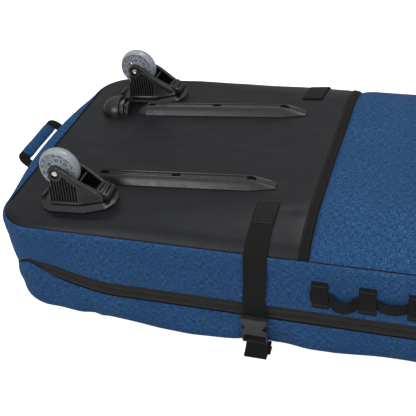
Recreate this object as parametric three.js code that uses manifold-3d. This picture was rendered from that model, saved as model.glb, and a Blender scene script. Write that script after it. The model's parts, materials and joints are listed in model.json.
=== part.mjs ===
// Wheeled snowboard bag, lying on its lid with the wheeled deck upwards.
// Millimetres, +Z up, +X from the wheel end to the tail end, -Y the zipped long side.
// The origin is the middle of the lid's rest face, on the floor.

import * as THREE from 'three';
import { mergeVertices } from 'three/addons/utils/BufferGeometryUtils.js';
import Module from 'manifold-3d';

const wasm = await Module();
wasm.setup();

// ---------------------------------------------------------------- driving dimensions

const HALF_LENGTH = 835;
const HALF_WIDTH = 254;
const CORNER_R = 65;
const GAP = 0.4;                       // between touching pieces

const EDGE_Z = 185;                    // seam between the deck and the side wall
const PANEL_T = 4;                     // coated deck fabric with its foam
const WALL_T = 8;                      // padded side wall
const WALL_TOP = EDGE_Z - PANEL_T - 1.3;

const AXLE_X = -728;
const DECK_Z = 191;                    // deck height under the axle
const DECK_SLOPE = THREE.MathUtils.degToRad(3.7);
const SEAM_X = AXLE_X + 415;           // black deck panel ends, blue fabric begins
const BINDING_W = 16;

const ZIP_Z = 73;                      // zip line along the long sides
const ZIP_RISE = 39;                   // the zip climbs this much before each corner
const ZIP_RAMP_X = 640;                // where it starts to climb
const ZIP_PEAK_X = 780;                // and where it is highest, before it dips round the end
const ZIP_DIP = 0.75;                  // share of the climb lost again round the end
const TAPE_W = 14;                     // each tape, from the zip line to the fabric
const TAPE_EASE = 0.8;                 // room for the tape where the zip climbs

const END_PUFF = 19;                   // the padded end walls stand this far past the deck edge

const LID_T = 6;
const LID_INSET = 26;                  // rounded lower edge of the lid wall
const BOARD_T = 3;                     // stiffener under the deck panel
const LINER_T = 2;
const LINER_DROP = 11;                 // liner below the deck surface

const WHEEL_R = 35;
const WHEEL_W = 23.6;
const TRACK_HALF = 176.5;
const HUB_Z = 61;                      // axle above the deck
const AXLE_R = 4;
const RAIL_Y = 115;
const RAIL_START = 10;
const RAIL_END = 338;
const RAIL_H = 14;
const RAIL_SCREWS = [42, 171, 299];
const SCREW_R = 2.4;

const WEB_T = 1.6;                     // strap webbing
const STRAP_W = 38;
const STRAP_X = -391;
const BUCKLE_X = -398;
const STRAP_END_Y = 163;               // sewn end of each strap on the deck

const HANDLE_Z = 165;                  // sewn ends of the two end handles
const HANDLE_OFF = 1.5;                // their hinge lines stand this far off the wall
const HANDLE_LIFT = THREE.MathUtils.degToRad(38);
const CARRY_X = 60;                    // middle of the carry handle on the zipped side
const CARRY_Z = 168;
const CARRY_HANG = THREE.MathUtils.degToRad(12);
const SLIDER_XS = [215, 262];          // sliders a and b on the zip line

// ---------------------------------------------------------------- materials

const paint = (color, roughness, metalness = 0) =>
  new THREE.MeshStandardMaterial({ color, roughness, metalness });

const BLUE = paint(0x2f5687, 0.85);
const BLACK_COATED = paint(0x1c1d1f, 0.55);
const BLACK_WEB = paint(0x17181a, 0.8);
const PLASTIC = paint(0x232427, 0.45);
const LINING = paint(0x3a3d42, 0.9);
const BOARD = paint(0x111214, 0.5);
const RUBBER = paint(0xb4b9be, 0.25);
const STEEL = paint(0xb9b6ae, 0.3, 0.9);
const BEARING = paint(0x9a9ca0, 0.35, 0.9);

const bag = new THREE.Group();
const deck = new THREE.Group();        // everything screwed to the sloping deck
deck.position.set(AXLE_X, 0, DECK_Z);
deck.rotation.y = -DECK_SLOPE;
bag.add(deck);

function add(name, geometry, material, parent = bag) {
  const mesh = new THREE.Mesh(geometry, material);
  mesh.name = name;
  parent.add(mesh);
  return mesh;
}

// ---------------------------------------------------------------- geometry helpers

const V = (x, y, z) => new THREE.Vector3(x, y, z);
const clamp01 = (t) => Math.min(1, Math.max(0, t));
const range = (n) => Array.from({ length: n }, (_, i) => i);
const mix = (a, b, t) => a + (b - a) * t;

function signedVolume(points, index) {
  let sum = 0;
  for (let i = 0; i < index.length; i += 3) {
    const [a, b, c] = [points[index[i]], points[index[i + 1]], points[index[i + 2]]];
    sum += a.dot(b.clone().cross(c));
  }
  return sum / 6;
}

function geometryFrom(points, index) {
  if (signedVolume(points, index) < 0) index.reverse();
  const geometry = new THREE.BufferGeometry();
  geometry.setFromPoints(points);
  geometry.setIndex(index);
  geometry.computeVertexNormals();
  return geometry;
}

// Joins equal loops of points into one solid. An open run is capped like a ladder.
function loft(rings, closed = false) {
  const n = rings[0].length;
  const index = [];
  const spans = closed ? rings.length : rings.length - 1;
  for (let r = 0; r < spans; r++) {
    const a = r * n;
    const b = ((r + 1) % rings.length) * n;
    for (let i = 0; i < n; i++) {
      const j = (i + 1) % n;
      index.push(a + i, a + j, b + j, a + i, b + j, b + i);
    }
  }
  if (!closed) {
    for (const [base, flip] of [[0, true], [(rings.length - 1) * n, false]]) {
      for (let i = 0; i < n / 2 - 1; i++) {
        const [p, q, r, s] = [i, i + 1, n - 2 - i, n - 1 - i].map((k) => base + k);
        const faces = q === r ? [p, q, s] : [p, q, r, p, r, s];
        index.push(...(flip ? faces.reverse() : faces));
      }
    }
  }
  return geometryFrom(rings.flat(), index);
}

function toSolid(geometry) {
  const bare = geometry.clone();
  bare.deleteAttribute('normal');
  bare.deleteAttribute('uv');
  const merged = mergeVertices(bare, 1e-4);
  const mesh = new wasm.Mesh({
    numProp: 3,
    vertProperties: new Float32Array(merged.attributes.position.array),
    triVerts: new Uint32Array(merged.index.array),
  });
  return new wasm.Manifold(mesh);
}

function fromSolid(solid) {
  const { vertProperties, triVerts } = solid.getMesh();
  const geometry = new THREE.BufferGeometry();
  geometry.setAttribute('position', new THREE.BufferAttribute(new Float32Array(vertProperties), 3));
  geometry.setIndex(Array.from(triVerts));
  geometry.computeVertexNormals();
  return geometry;
}

const union = (...parts) => fromSolid(parts.map(toSolid).reduce((a, b) => a.add(b)));
const cut = (body, ...tools) =>
  fromSolid(tools.map(toSolid).reduce((a, b) => a.subtract(b), toSolid(body)));

const box = (x0, x1, y0, y1, z0, z1) =>
  new THREE.BoxGeometry(x1 - x0, y1 - y0, z1 - z0)
    .translate((x0 + x1) / 2, (y0 + y1) / 2, (z0 + z1) / 2);

// A post along +Z at (x, y).
const post = (r, x, y, z0, z1, segments = 12) =>
  new THREE.CylinderGeometry(r, r, z1 - z0, segments)
    .rotateX(Math.PI / 2)
    .translate(x, y, (z0 + z1) / 2);

// An outline of [x, z] points pushed along Y from y0 to y1.
function extrudeY(outline, y0, y1) {
  const shape = new THREE.Shape(outline.map(([x, z]) => new THREE.Vector2(x, z)));
  return new THREE.ExtrudeGeometry(shape, { depth: y1 - y0, bevelEnabled: false })
    .rotateX(Math.PI / 2)
    .translate(0, y1, 0);
}

// Flat webbing along a path. up points out of its face: one direction, or a function of the path index.
function webbing(path, up, width, thickness = WEB_T) {
  const rings = path.map((p, i) => {
    const before = path[Math.max(i - 1, 0)];
    const after = path[Math.min(i + 1, path.length - 1)];
    const along = after.clone().sub(before).normalize();
    const lift = typeof up === 'function' ? up(i) : up;
    const side = along.clone().cross(lift).normalize().multiplyScalar(width / 2);
    const out = side.clone().cross(along).normalize().multiplyScalar(thickness);
    return [p.clone().sub(side), p.clone().add(side),
      p.clone().add(side).add(out), p.clone().sub(side).add(out)];
  });
  return loft(rings);
}

// ---------------------------------------------------------------- body shape

const halfWidthAt = (x, inset = 0) => {
  const over = Math.abs(x) - (HALF_LENGTH - CORNER_R);
  if (over <= 0) return HALF_WIDTH - inset;
  return HALF_WIDTH - CORNER_R + Math.sqrt(Math.max(0, (CORNER_R - inset) ** 2 - over ** 2));
};

// Height of the deck along the middle of the bag.
function crestAt(x) {
  const slope = Math.tan(DECK_SLOPE);
  const easeFrom = SEAM_X - 17;
  const easeLength = 270;
  const tailFrom = 480;
  const rise = (u) => DECK_Z + slope * (u - AXLE_X);
  if (x <= easeFrom) return rise(x);
  const s = Math.min(x - easeFrom, easeLength);
  const top = rise(easeFrom) + slope * (s - s * s / (2 * easeLength));
  const tail = clamp01((x - tailFrom) / (HALF_LENGTH - tailFrom));
  return top - 38 * tail * tail;
}

// The deck is flat between the wheel brackets and rolls off to the side seams.
function surfaceAt(x, y) {
  const flatWide = 218;
  const flatNarrow = 140;
  const bracketEnd = AXLE_X + 95;
  const flat = mix(flatWide, flatNarrow, clamp01((x - bracketEnd) / (SEAM_X - bracketEnd)));
  const edge = halfWidthAt(x);
  const from = Math.min(flat, edge - 1);
  const t = clamp01((Math.abs(y) - from) / (edge - from));
  const crest = crestAt(x);
  return crest - (crest - EDGE_Z) * t * t;
}

const ACROSS = [0, 0.55, 0.7, 0.82, 0.92, 1];
const acrossBag = [...ACROSS.slice(1).reverse().map((v) => -v), ...ACROSS];
const cornerXs = range(5).map((i) => HALF_LENGTH - CORNER_R * (1 - Math.cos((i / 4) * Math.PI / 2)));

// A sheet that follows the deck surface, drop below it.
function deckSheet(xs, drop, thickness, inset = 0) {
  const rings = xs.map((x) => {
    const half = halfWidthAt(x, inset);
    const top = acrossBag.map((v) => {
      const y = v * half;
      return V(x, y, surfaceAt(x, y) - drop);
    });
    const bottom = top.map((p) => p.clone().setZ(p.z - thickness)).reverse();
    return [...top, ...bottom];
  });
  return loft(rings);
}

// Height of the zip line at a point of the outline.
function zipZAt(x) {
  const climb = clamp01((Math.abs(x) - ZIP_RAMP_X) / (ZIP_PEAK_X - ZIP_RAMP_X)) ** 1.5;
  const round = clamp01((Math.abs(x) - ZIP_PEAK_X) / (HALF_LENGTH - ZIP_PEAK_X));
  return ZIP_Z + ZIP_RISE * climb * (1 - ZIP_DIP * round * round * (3 - 2 * round));
}

// Outline of the bag as stations with an outward normal, from the far side round the
// wheel end, along the zipped side and round the tail end.
function outline() {
  const sideXs = [-740, -695, -640, 0, 640, 695, 740];
  const stations = [];
  const corner = (cx, cy, from) => {
    for (let i = 0; i <= 4; i++) {
      const a = from + (i / 4) * Math.PI / 2;
      stations.push({ cx, cy, nx: Math.cos(a), ny: Math.sin(a), r: CORNER_R });
    }
  };
  const straightX = (xs, y, ny) => xs.forEach((x) => stations.push({ cx: x, cy: y, nx: 0, ny, r: CORNER_R }));
  const [bx, by] = [HALF_LENGTH - CORNER_R, HALF_WIDTH - CORNER_R];
  const straightY = (x, shares, nx) => shares.forEach((v) =>
    stations.push({ cx: x, cy: v * by, nx, ny: 0, r: CORNER_R, puff: END_PUFF * (1 - v ** 4) }));
  straightX([...sideXs].filter((x) => x < 0).reverse(), by, 1);
  corner(-bx, by, Math.PI / 2);
  straightY(-bx, [0.75, 0.4, 0, -0.4, -0.75], -1);
  corner(-bx, -by, Math.PI);
  straightX(sideXs, -by, -1);
  corner(bx, -by, 1.5 * Math.PI);
  straightY(bx, [-0.75, -0.4, 0, 0.4, 0.75], 1);
  corner(bx, by, 0);
  straightX([...sideXs].filter((x) => x >= 0).reverse(), by, 1);
  return stations;
}

// Sweeps a section of [depth below the outer face, z] points round the outline. The section
// is a function of the zip height and of how far the padding stands out there.
function band(stations, section, closed) {
  const rings = stations.map((s) => section(zipZAt(s.cx + s.nx * s.r), s.puff ?? 0).map(([depth, z]) =>
    V(s.cx + s.nx * (s.r - depth), s.cy + s.ny * (s.r - depth), z)));
  return loft(rings, closed);
}

const OUTLINE = outline();
const isFarStraight = (s) => s.ny > 0.999 && Math.abs(s.cx) < ZIP_RAMP_X;
const zipRun = OUTLINE.filter((s) => !isFarStraight(s));

// ---------------------------------------------------------------- lid

function lidPlate(inset, z0, thickness) {
  const [hx, hy, r] = [HALF_LENGTH - inset, HALF_WIDTH - inset, CORNER_R - inset];
  const shape = new THREE.Shape();
  shape.absarc(hx - r, hy - r, r, 0, Math.PI / 2);
  shape.absarc(-hx + r, hy - r, r, Math.PI / 2, Math.PI);
  shape.absarc(-hx + r, -hy + r, r, Math.PI, 1.5 * Math.PI);
  shape.absarc(hx - r, -hy + r, r, 1.5 * Math.PI, 2 * Math.PI);
  return new THREE.ExtrudeGeometry(shape, { depth: thickness, bevelEnabled: false, curveSegments: 2 })
    .translate(0, 0, z0);
}

function addLid() {
  add('lid_panel', lidPlate(LID_INSET + GAP, 0, LID_T), BLUE);
  add('lid_liner', lidPlate(LID_INSET + 4, LID_T + GAP, LINER_T), LINING);
  const wallSection = (zip) => {
    const top = zip - TAPE_W - GAP;
    return [[0, top], [0, 24], [4, 12], [12, 4], [LID_INSET, 0.5],
      [LID_INSET, 6.5], [14, 11], [WALL_T, 24], [WALL_T, top]];
  };
  add('lid_wall', band(OUTLINE, wallSection, true), BLUE);
  add('zip_tape_lower', band(zipRun, (zip) => tapeSection(zip, -1), false), BLACK_WEB);
  add('hinge_gusset', box(-ZIP_RAMP_X + 12, ZIP_RAMP_X - 12, HALF_WIDTH - 3.8, HALF_WIDTH - 1.8,
    ZIP_Z - TAPE_W, ZIP_Z + TAPE_W), BLUE);
}

// One zip tape with its coil bead; side +1 is above the zip line and -1 below it.
function tapeSection(zip, side) {
  const z = (h) => zip + side * h;
  const edge = z(TAPE_W - TAPE_EASE);
  return [[0.6, z(0.8)], [0.6, z(3.6)], [1.8, z(3.6)], [1.8, edge], [3.2, edge], [3.2, z(0.8)]];
}

// ---------------------------------------------------------------- tub

const blackXs = [...cornerXs.map((x) => -x), -700, AXLE_X + 95, -540, -460, STRAP_X, SEAM_X - BINDING_W,
  SEAM_X - GAP];
const blueXs = [SEAM_X, -200, -60, 480, 600, 720, ...[...cornerXs].reverse()];

function addTub() {
  const holes = RAIL_SCREWS.flatMap((x) => [-RAIL_Y, RAIL_Y].map((y) =>
    post(SCREW_R + 0.4, x, y, -20, 20).applyMatrix4(deckMatrix)));
  add('deck_panel_black', cut(deckSheet(blackXs, 0, PANEL_T), ...holes), BLACK_COATED);
  add('deck_panel_blue', deckSheet(blueXs, 0, PANEL_T), BLUE);
  const bindingXs = [SEAM_X - BINDING_W, SEAM_X - GAP];
  add('seam_binding', deckSheet(bindingXs, -1 - GAP, 1, 1), BLACK_WEB);
  const wallSection = (zip, puff) => {
    const low = zip + TAPE_W + GAP;
    return [[0, low], [-puff, low + 22], [-puff, WALL_TOP], [WALL_T, WALL_TOP], [WALL_T, low]];
  };
  add('tub_wall', band(OUTLINE, wallSection, true), BLUE);
  add('zip_tape_upper', band(zipRun, (zip) => tapeSection(zip, 1), false), BLACK_WEB);
  const linerXs = [-815, -790, -700, AXLE_X + 95, -540, -440, SEAM_X, -200, -60, 480, 600, 720, 790, 815];
  add('tub_liner', deckSheet(linerXs, LINER_DROP, LINER_T, WALL_T + 3), LINING);
}

// Stiffener sheet under the black panel, in the deck's own frame.
function addStiffener() {
  const plan = [[-95, 150], [-70, 185], [90, 176], [188, 168], [288, 134], [385, 120]];
  const shape = new THREE.Shape([...plan, ...plan.map(([x, y]) => [x, -y]).reverse()]
    .map(([x, y]) => new THREE.Vector2(x, y)));
  const sheet = new THREE.ExtrudeGeometry(shape, { depth: BOARD_T, bevelEnabled: false })
    .translate(0, 0, -PANEL_T - GAP - BOARD_T);
  const holes = RAIL_SCREWS.flatMap((x) => [-RAIL_Y, RAIL_Y].map((y) =>
    post(SCREW_R + 0.4, x, y, -20, 20)));
  add('stiffener_board', cut(sheet, ...holes), BOARD, deck);
}

// Two flat straps across the inside of the tub hold the board down.
function addBoardStraps() {
  for (const [name, x] of [['board_strap_front', -430], ['board_strap_rear', 430]]) {
    const path = [-210, -160, -80, 0, 80, 160, 210].map((y) =>
      V(x, y, surfaceAt(x, y) - LINER_DROP - LINER_T - 3 - WEB_T));
    add(name, webbing(path, V(0, 0, 1), STRAP_W), BLACK_WEB);
  }
}

// ---------------------------------------------------------------- skid rails and bumpers

// Section of a rail at a height fraction: wide foot, narrow top.
function railRing(x, height) {
  const [foot, top] = [18, 7.5];
  const half = mix(foot, top, height / RAIL_H);
  const lift = 0.35;
  return [V(x, -foot, lift), V(x, foot, lift), V(x, half, lift + height), V(x, -half, lift + height)];
}

function railBody() {
  const rings = [railRing(RAIL_START, 1.5), railRing(RAIL_START + 24, RAIL_H),
    railRing(RAIL_END - 38, RAIL_H), railRing(RAIL_END, 1.5)];
  const recesses = RAIL_SCREWS.map((x) => post(5, x, 0, RAIL_H - 5, RAIL_H + 5, 10));
  const bores = RAIL_SCREWS.map((x) => post(SCREW_R + 0.4, x, 0, -5, RAIL_H + 5));
  return cut(loft(rings), ...recesses, ...bores);
}

function screwBody() {
  const headTop = RAIL_H - 1.2;
  const headUnder = RAIL_H - 4.7;
  const profile = [[0, -PANEL_T - BOARD_T - GAP], [SCREW_R, -PANEL_T - BOARD_T - GAP],
    [SCREW_R, headUnder], [4.4, headUnder], [3.6, headTop], [0, headTop]];
  return new THREE.LatheGeometry(profile.map(([r, h]) => new THREE.Vector2(r, h)), 8)
    .rotateX(Math.PI / 2);
}

// Low half-dome that guards the head of each rail against kerbs.
function bumperBody() {
  const [rx, ry, height, lift] = [34, 28, 28, 0.35];
  const rings = [0, 0.4, 0.75, 0.95].map((h) => {
    const r = Math.sqrt(1 - h * h);
    return range(16).map((i) => {
      const a = (i / 16) * 2 * Math.PI;
      return V(rx * r * Math.cos(a), ry * r * Math.sin(a), lift + height * h);
    });
  });
  const slots = [-14, 0, 14].map((y) => box(26, 40, y - 4.5, y + 4.5, 9, 20));
  return cut(loft(rings), ...slots);
}

function addDeckGear() {
  for (const [side, sign] of [['near', -1], ['far', 1]]) {
    const y = sign * RAIL_Y;
    add(`skid_rail_${side}`, railBody(), PLASTIC, deck).position.y = y;
    RAIL_SCREWS.forEach((x, i) => {
      add(`rail_screw_${side}_${i + 1}`, screwBody(), STEEL, deck).position.set(x, y, 0);
    });
    add(`kerb_bumper_${side}`, bumperBody(), PLASTIC, deck).position.set(-28, y, 0);
    addWheelUnit(side, sign);
  }
}

// ---------------------------------------------------------------- wheel units

const BASE_H = 9;

// Base plate, wider on the side away from the rail; sign +1 puts the wide side at +Y.
function bracketBase(sign) {
  const outer = [[-46, 12], [-30, 34], [-10, 40], [50, 40], [78, 28], [88, 10]];
  const inner = outer.map(([x, y]) => [x, -Math.min(y, 32)]).reverse();
  const plan = [...outer, ...inner].map(([x, y]) => [x, sign * y]);
  const ring = (inset, z) => plan.map(([x, y]) => {
    const cx = 20;
    const shrinkX = 1 - inset / 67;
    const shrinkY = 1 - inset / 40;
    return V(cx + (x - cx) * shrinkX, y * shrinkY, z);
  });
  return loft([ring(0, 0.35), ring(1, 4), ring(7, BASE_H)]);
}

// One cheek: round boss at the axle, ribbed plate below, arm sloping to the front block.
function cheek(sign) {
  const boss = 13;
  const start = Math.PI * 1.02;
  const end = Math.PI * 0.28;
  const arc = range(9).map((i) => {
    const a = mix(start, end, i / 8);
    return [boss * Math.cos(a), HUB_Z + boss * Math.sin(a)];
  });
  const foot = BASE_H + GAP;
  const outlineXZ = [...arc, [60, 24], [72, foot], [-19, foot], [-15, 30]];
  const [inner, outer] = [13.6, 18.4];
  const plate = extrudeY(outlineXZ, inner, outer);
  const spread = Math.tan(THREE.MathUtils.degToRad(12));
  const position = plate.attributes.position;
  for (let i = 0; i < position.count; i++) {
    const y = position.getY(i) + (HUB_Z - Math.min(position.getZ(i), HUB_Z)) * spread;
    position.setY(i, y);
  }
  const bore = new THREE.CylinderGeometry(AXLE_R + 0.4, AXLE_R + 0.4, 60, 16).translate(0, 0, HUB_Z);
  const headSeat = new THREE.CylinderGeometry(8, 8, 20, 20).translate(0, outer + 0.1 + 10, HUB_Z);
  const solid = cut(plate, bore, headSeat);
  if (sign > 0) return solid;
  return fromSolid(toSolid(solid).mirror([0, 1, 0]));
}

function forkBody() {
  const foot = BASE_H + GAP;
  const tray = box(-16, 72, -26, 26, foot, foot + 6);
  const block = box(58, 80, -15, 15, foot, foot + 15);
  const slot = box(66, 72, -9, 9, foot + 9, foot + 20);
  const back = box(-18, -12, -25, 25, foot, foot + 12);
  return cut(union(cheek(1), cheek(-1), tray, back, block), slot);
}

const lathe = (profile, segments) =>
  new THREE.LatheGeometry(profile.map(([r, y]) => new THREE.Vector2(r, y)), segments);

const mirrored = (half) => [...half, ...half.map(([r, y]) => [r, -y]).reverse()];
const closeRing = (profile) => [...profile, profile[0]];

function addWheelUnit(side, sign) {
  const unit = new THREE.Group();
  unit.position.set(0, sign * TRACK_HALF, 0);
  deck.add(unit);
  add(`bracket_base_${side}`, bracketBase(sign), PLASTIC, unit);
  add(`wheel_fork_${side}`, forkBody(), PLASTIC, unit);

  const halfBolt = [[0, -22.4], [5.2, -22.4], [6.4, -20.6], [6.4, -18.8], [AXLE_R, -18.8]];
  const bolt = add(`axle_bolt_${side}`, lathe(mirrored(halfBolt), 12), STEEL, unit);
  const half = WHEEL_W / 2;
  const tyre = closeRing(mirrored([[22.9, -9.6], [25, -half], [29, -11], [33, -7.4], [WHEEL_R, -2.2]]));
  const hub = closeRing(mirrored([[6.6, -4], [11.4, -4], [11.4, -half], [19.5, -half], [22.5, -9.2]]));
  const wheel = [add(`wheel_tyre_${side}`, lathe(tyre, 24), RUBBER, unit),
    add(`wheel_hub_${side}`, lathe(hub, 18), PLASTIC, unit)];
  for (const [place, from, to] of [['outer', 4.5, 11.5], ['inner', -11.5, -4.5]]) {
    const ring = closeRing([[AXLE_R + 0.4, from], [11, from], [11, to], [AXLE_R + 0.4, to]]);
    wheel.push(add(`wheel_bearing_${side}_${place}`, lathe(ring, 12), BEARING, unit));
  }
  for (const piece of [bolt, ...wheel]) piece.position.z = HUB_Z;
}

// ---------------------------------------------------------------- compression straps and buckle

// Path over the deck and down a side; side is -1 for near and +1 for far.
function strapPath(side, low) {
  const lift = 2;
  const over = [STRAP_END_Y, 185, 205, 225, 242].map((y) =>
    V(STRAP_X, side * y, surfaceAt(STRAP_X, y) + lift));
  const wallY = HALF_WIDTH + 1.2;
  return [...over, V(STRAP_X, side * (wallY - 0.2), EDGE_Z + 1.5), V(STRAP_X, side * wallY, EDGE_Z - 9),
    ...low];
}

const BUCKLE = { top: 66, mouth: 31, foot: 16, face: -270, back: -259.5, halfW: 21 };

function buckleFemale() {
  const { top, mouth, face, back, halfW } = BUCKLE;
  const shell = box(-halfW, halfW, face, back, mouth, top);
  const cavity = box(-17.5, 17.5, face + 2, back - 1.6, mouth - 1, top - 8);
  const windows = [-1, 1].map((s) => box(...[s * 14.5, s * 30].sort((a, b) => a - b),
    face - 1, back + 1, mouth + 11, mouth + 24));
  const webSlot = box(-19.6, 19.6, face + 3, back + 1, top - 7, top - 2.4);
  return cut(shell, cavity, ...windows, webSlot);
}

function buckleMale() {
  const { mouth, foot, face, back } = BUCKLE;
  const frame = box(-20.5, 20.5, face + 1.5, back - 1, foot, mouth - GAP);
  const tongue = box(-3, 3, face + 3.4, back - 3, mouth - 2, mouth + 20);
  const slot = box(-19.6, 19.6, face - 1, back + 1, foot + 3.4, foot + 11);
  return cut(union(frame, tongue), slot);
}

// One sprung prong; it leans inward when squeezed.
function buckleProng(sign) {
  const { mouth, face, back } = BUCKLE;
  const [y0, y1] = [face + 3.4, back - 3];
  const outlineXZ = [[9, mouth], [13, mouth], [14.5, mouth + 10], [16.8, mouth + 13], [16.8, mouth + 20],
    [14, mouth + 26], [11, mouth + 26], [10.5, mouth + 12]];
  const signed = outlineXZ.map(([x, z]) => [sign * x, z]);
  return extrudeY(sign > 0 ? signed : signed.reverse(), y0, y1);
}

function addStraps() {
  const deckUp = V(-Math.tan(DECK_SLOPE), 0, 1);
  const outNormal = (side) => (i) => (i < 5 ? deckUp : V(0, side, i === 5 ? 1 : 0));
  const nearLow = [V(mix(STRAP_X, BUCKLE_X, 0.5), -HALF_WIDTH - 2, 120),
    V(BUCKLE_X, -HALF_WIDTH - 3, BUCKLE.top + 8), V(BUCKLE_X, -HALF_WIDTH - 3.4, BUCKLE.top - 2)];
  add('strap_near', webbing(strapPath(-1, nearLow), outNormal(-1), STRAP_W), BLACK_WEB);
  const farLow = [V(STRAP_X, HALF_WIDTH + 1.2, 130), V(STRAP_X, HALF_WIDTH + 1.2, ZIP_Z + TAPE_W + 2)];
  add('strap_far', webbing(strapPath(1, farLow), outNormal(1), STRAP_W), BLACK_WEB);

  add('buckle_female', buckleFemale(), PLASTIC).position.x = BUCKLE_X;
  add('buckle_male', buckleMale(), PLASTIC).position.x = BUCKLE_X;
  add('buckle_prong_left', buckleProng(-1), PLASTIC).position.x = BUCKLE_X;
  add('buckle_prong_right', buckleProng(1), PLASTIC).position.x = BUCKLE_X;

  const slotZ = BUCKLE.foot + 7.4;
  const lower = [[-262, slotZ], [-267, slotZ - 1], [-272.5, 15], [-279, 7], [-285, 3.4], [-284, 0.4],
    [-262, 0.4], [-240, 0.4]];
  const lowerPath = lower.map(([y, z]) => V(BUCKLE_X, y, z));
  add('strap_lower', lowerWebbing(lowerPath), BLACK_WEB);
}

// Webbing in a plane of constant X, thickened towards the inside of its bend.
function lowerWebbing(path) {
  const rings = path.map((p, i) => {
    const along = path[Math.min(i + 1, path.length - 1)].clone()
      .sub(path[Math.max(i - 1, 0)]).normalize();
    const out = V(0, -along.z, along.y).multiplyScalar(-WEB_T);
    const side = V(STRAP_W / 2, 0, 0);
    return [p.clone().sub(side), p.clone().add(side),
      p.clone().add(side).add(out), p.clone().sub(side).add(out)];
  });
  return loft(rings);
}

// ---------------------------------------------------------------- daisy chain

const DAISY = {
  first: -295, pitch: 70, tabs: 3, tabW: 26, tabLow: 100, tabHigh: 152, ribbonZ: 123, ribbonW: 20,
};

function addDaisyChain() {
  const wallY = -HALF_WIDTH;
  const flat = DAISY.tabW / 2 + 2;
  const path = [];
  for (let i = 0; i < DAISY.tabs; i++) {
    const x = DAISY.first + i * DAISY.pitch;
    path.push(V(x - flat, wallY - GAP, DAISY.ribbonZ), V(x + flat, wallY - GAP, DAISY.ribbonZ));
    if (i === DAISY.tabs - 1) break;
    const [bulge, sag] = i === 0 ? [11, 7] : [6, 1];
    for (const t of [0.25, 0.5, 0.75]) {
      const w = Math.sin(t * Math.PI);
      const between = mix(x + flat, x + DAISY.pitch - flat, t);
      path.push(V(between, wallY - GAP - bulge * w, DAISY.ribbonZ - sag * w));
    }
  }
  add('daisy_ribbon', webbing(path, V(0, -1, 0), DAISY.ribbonW), BLACK_WEB);
  for (let i = 0; i < DAISY.tabs; i++) {
    const x = DAISY.first + i * DAISY.pitch;
    const y = wallY - GAP - WEB_T - 0.8;
    add(`daisy_tab_${i + 1}`, box(x - DAISY.tabW / 2, x + DAISY.tabW / 2, y - WEB_T, y,
      DAISY.tabLow, DAISY.tabHigh), BLACK_WEB);
  }
}

// ---------------------------------------------------------------- handles

// Flat U of webbing in the local XZ plane: feet at z = 0, grip at z = reach.
function handleLoop(span, reach, width, bend) {
  const half = span / 2;
  const points = [[-half, 1.2], [-half, reach - bend]];
  for (const t of [0.25, 0.5, 0.75, 1]) {
    const a = t * Math.PI / 2;
    points.push([-half + bend * (1 - Math.cos(a)), reach - bend + bend * Math.sin(a)]);
  }
  const all = [...points, ...points.map(([x, z]) => [-x, z]).reverse()];
  const path = all.map(([x, z]) => V(x, -WEB_T / 2, z));
  return webbing(path, V(0, 1, 0), width);
}

// Padded grip wrapped round the middle of a loop.
function handleSleeve(length, reach, width) {
  const [halfW, halfT] = [width / 2 + 3, 6];
  const ring = (x) => range(10).map((i) => {
    const a = (i / 10) * 2 * Math.PI;
    return V(x, halfT * Math.sin(a), reach + halfW * Math.cos(a));
  });
  const tunnel = box(-length, length, -WEB_T / 2 - 0.4, WEB_T / 2 + 0.4,
    reach - width / 2 - 0.4, reach + width / 2 + 0.4);
  return cut(loft([ring(-length / 2), ring(length / 2)]), tunnel);
}

// Puts a handle's hinge line at a point of the bag, reaching along a direction.
function placeHandle(meshes, at, across, reach) {
  const frame = new THREE.Matrix4().makeBasis(across, reach.clone().cross(across), reach);
  for (const mesh of meshes) {
    mesh.quaternion.setFromRotationMatrix(frame);
    mesh.position.copy(at);
  }
}

function addHandles() {
  const [span, endReach, endWidth, endBend, endGrip] = [128, 29, 24, 13, 98];
  const hingeX = HALF_LENGTH + END_PUFF + HANDLE_OFF;
  const reach = (side) => V(side * Math.cos(HANDLE_LIFT), 0, Math.sin(HANDLE_LIFT));
  const wheelEnd = [add('end_handle_webbing', handleLoop(span, endReach, endWidth, endBend), BLACK_WEB),
    add('end_handle_sleeve', handleSleeve(endGrip, endReach, endWidth), BLUE)];
  placeHandle(wheelEnd, V(-hingeX, 0, HANDLE_Z), V(0, 1, 0), reach(-1));

  const tail = [add('tail_handle_webbing', handleLoop(span, endReach, endWidth, endBend), BLACK_WEB)];
  placeHandle(tail, V(hingeX, 0, HANDLE_Z), V(0, -1, 0), reach(1));

  const [carrySpan, carryReach, carryWidth, carryBend, carryGrip] = [210, 52, 30, 26, 120];
  const carryLoop = handleLoop(carrySpan, carryReach, carryWidth, carryBend);
  const carry = [add('carry_handle_webbing', carryLoop, BLACK_WEB),
    add('carry_handle_sleeve', handleSleeve(carryGrip, carryReach, carryWidth), BLUE)];
  placeHandle(carry, V(CARRY_X, -HALF_WIDTH - 1, CARRY_Z), V(1, 0, 0),
    V(0, -Math.sin(CARRY_HANG), -Math.cos(CARRY_HANG)));
}

// ---------------------------------------------------------------- zip sliders

const PIN_Y = -HALF_WIDTH - 6.2;

function sliderBody() {
  const front = -HALF_WIDTH - 3.2;
  const plate = box(-8, 8, front, -HALF_WIDTH, -6.5, 6.5);
  const neck = box(-6, 6, -HALF_WIDTH - 1, -HALF_WIDTH + 5, -0.35, 0.35);
  const back = box(-8, 8, -HALF_WIDTH + 4.2, -HALF_WIDTH + 5.4, -6, 6);
  const ears = [-1, 1].map((s) => box(-2.4, 2.4, PIN_Y - 2, front + 0.5,
    ...[s * 3.4, s * 5].sort((a, b) => a - b)));
  const pin = post(1.1, 0, PIN_Y, -4, 4, 10);
  return union(plate, neck, back, ...ears, pin);
}

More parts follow.
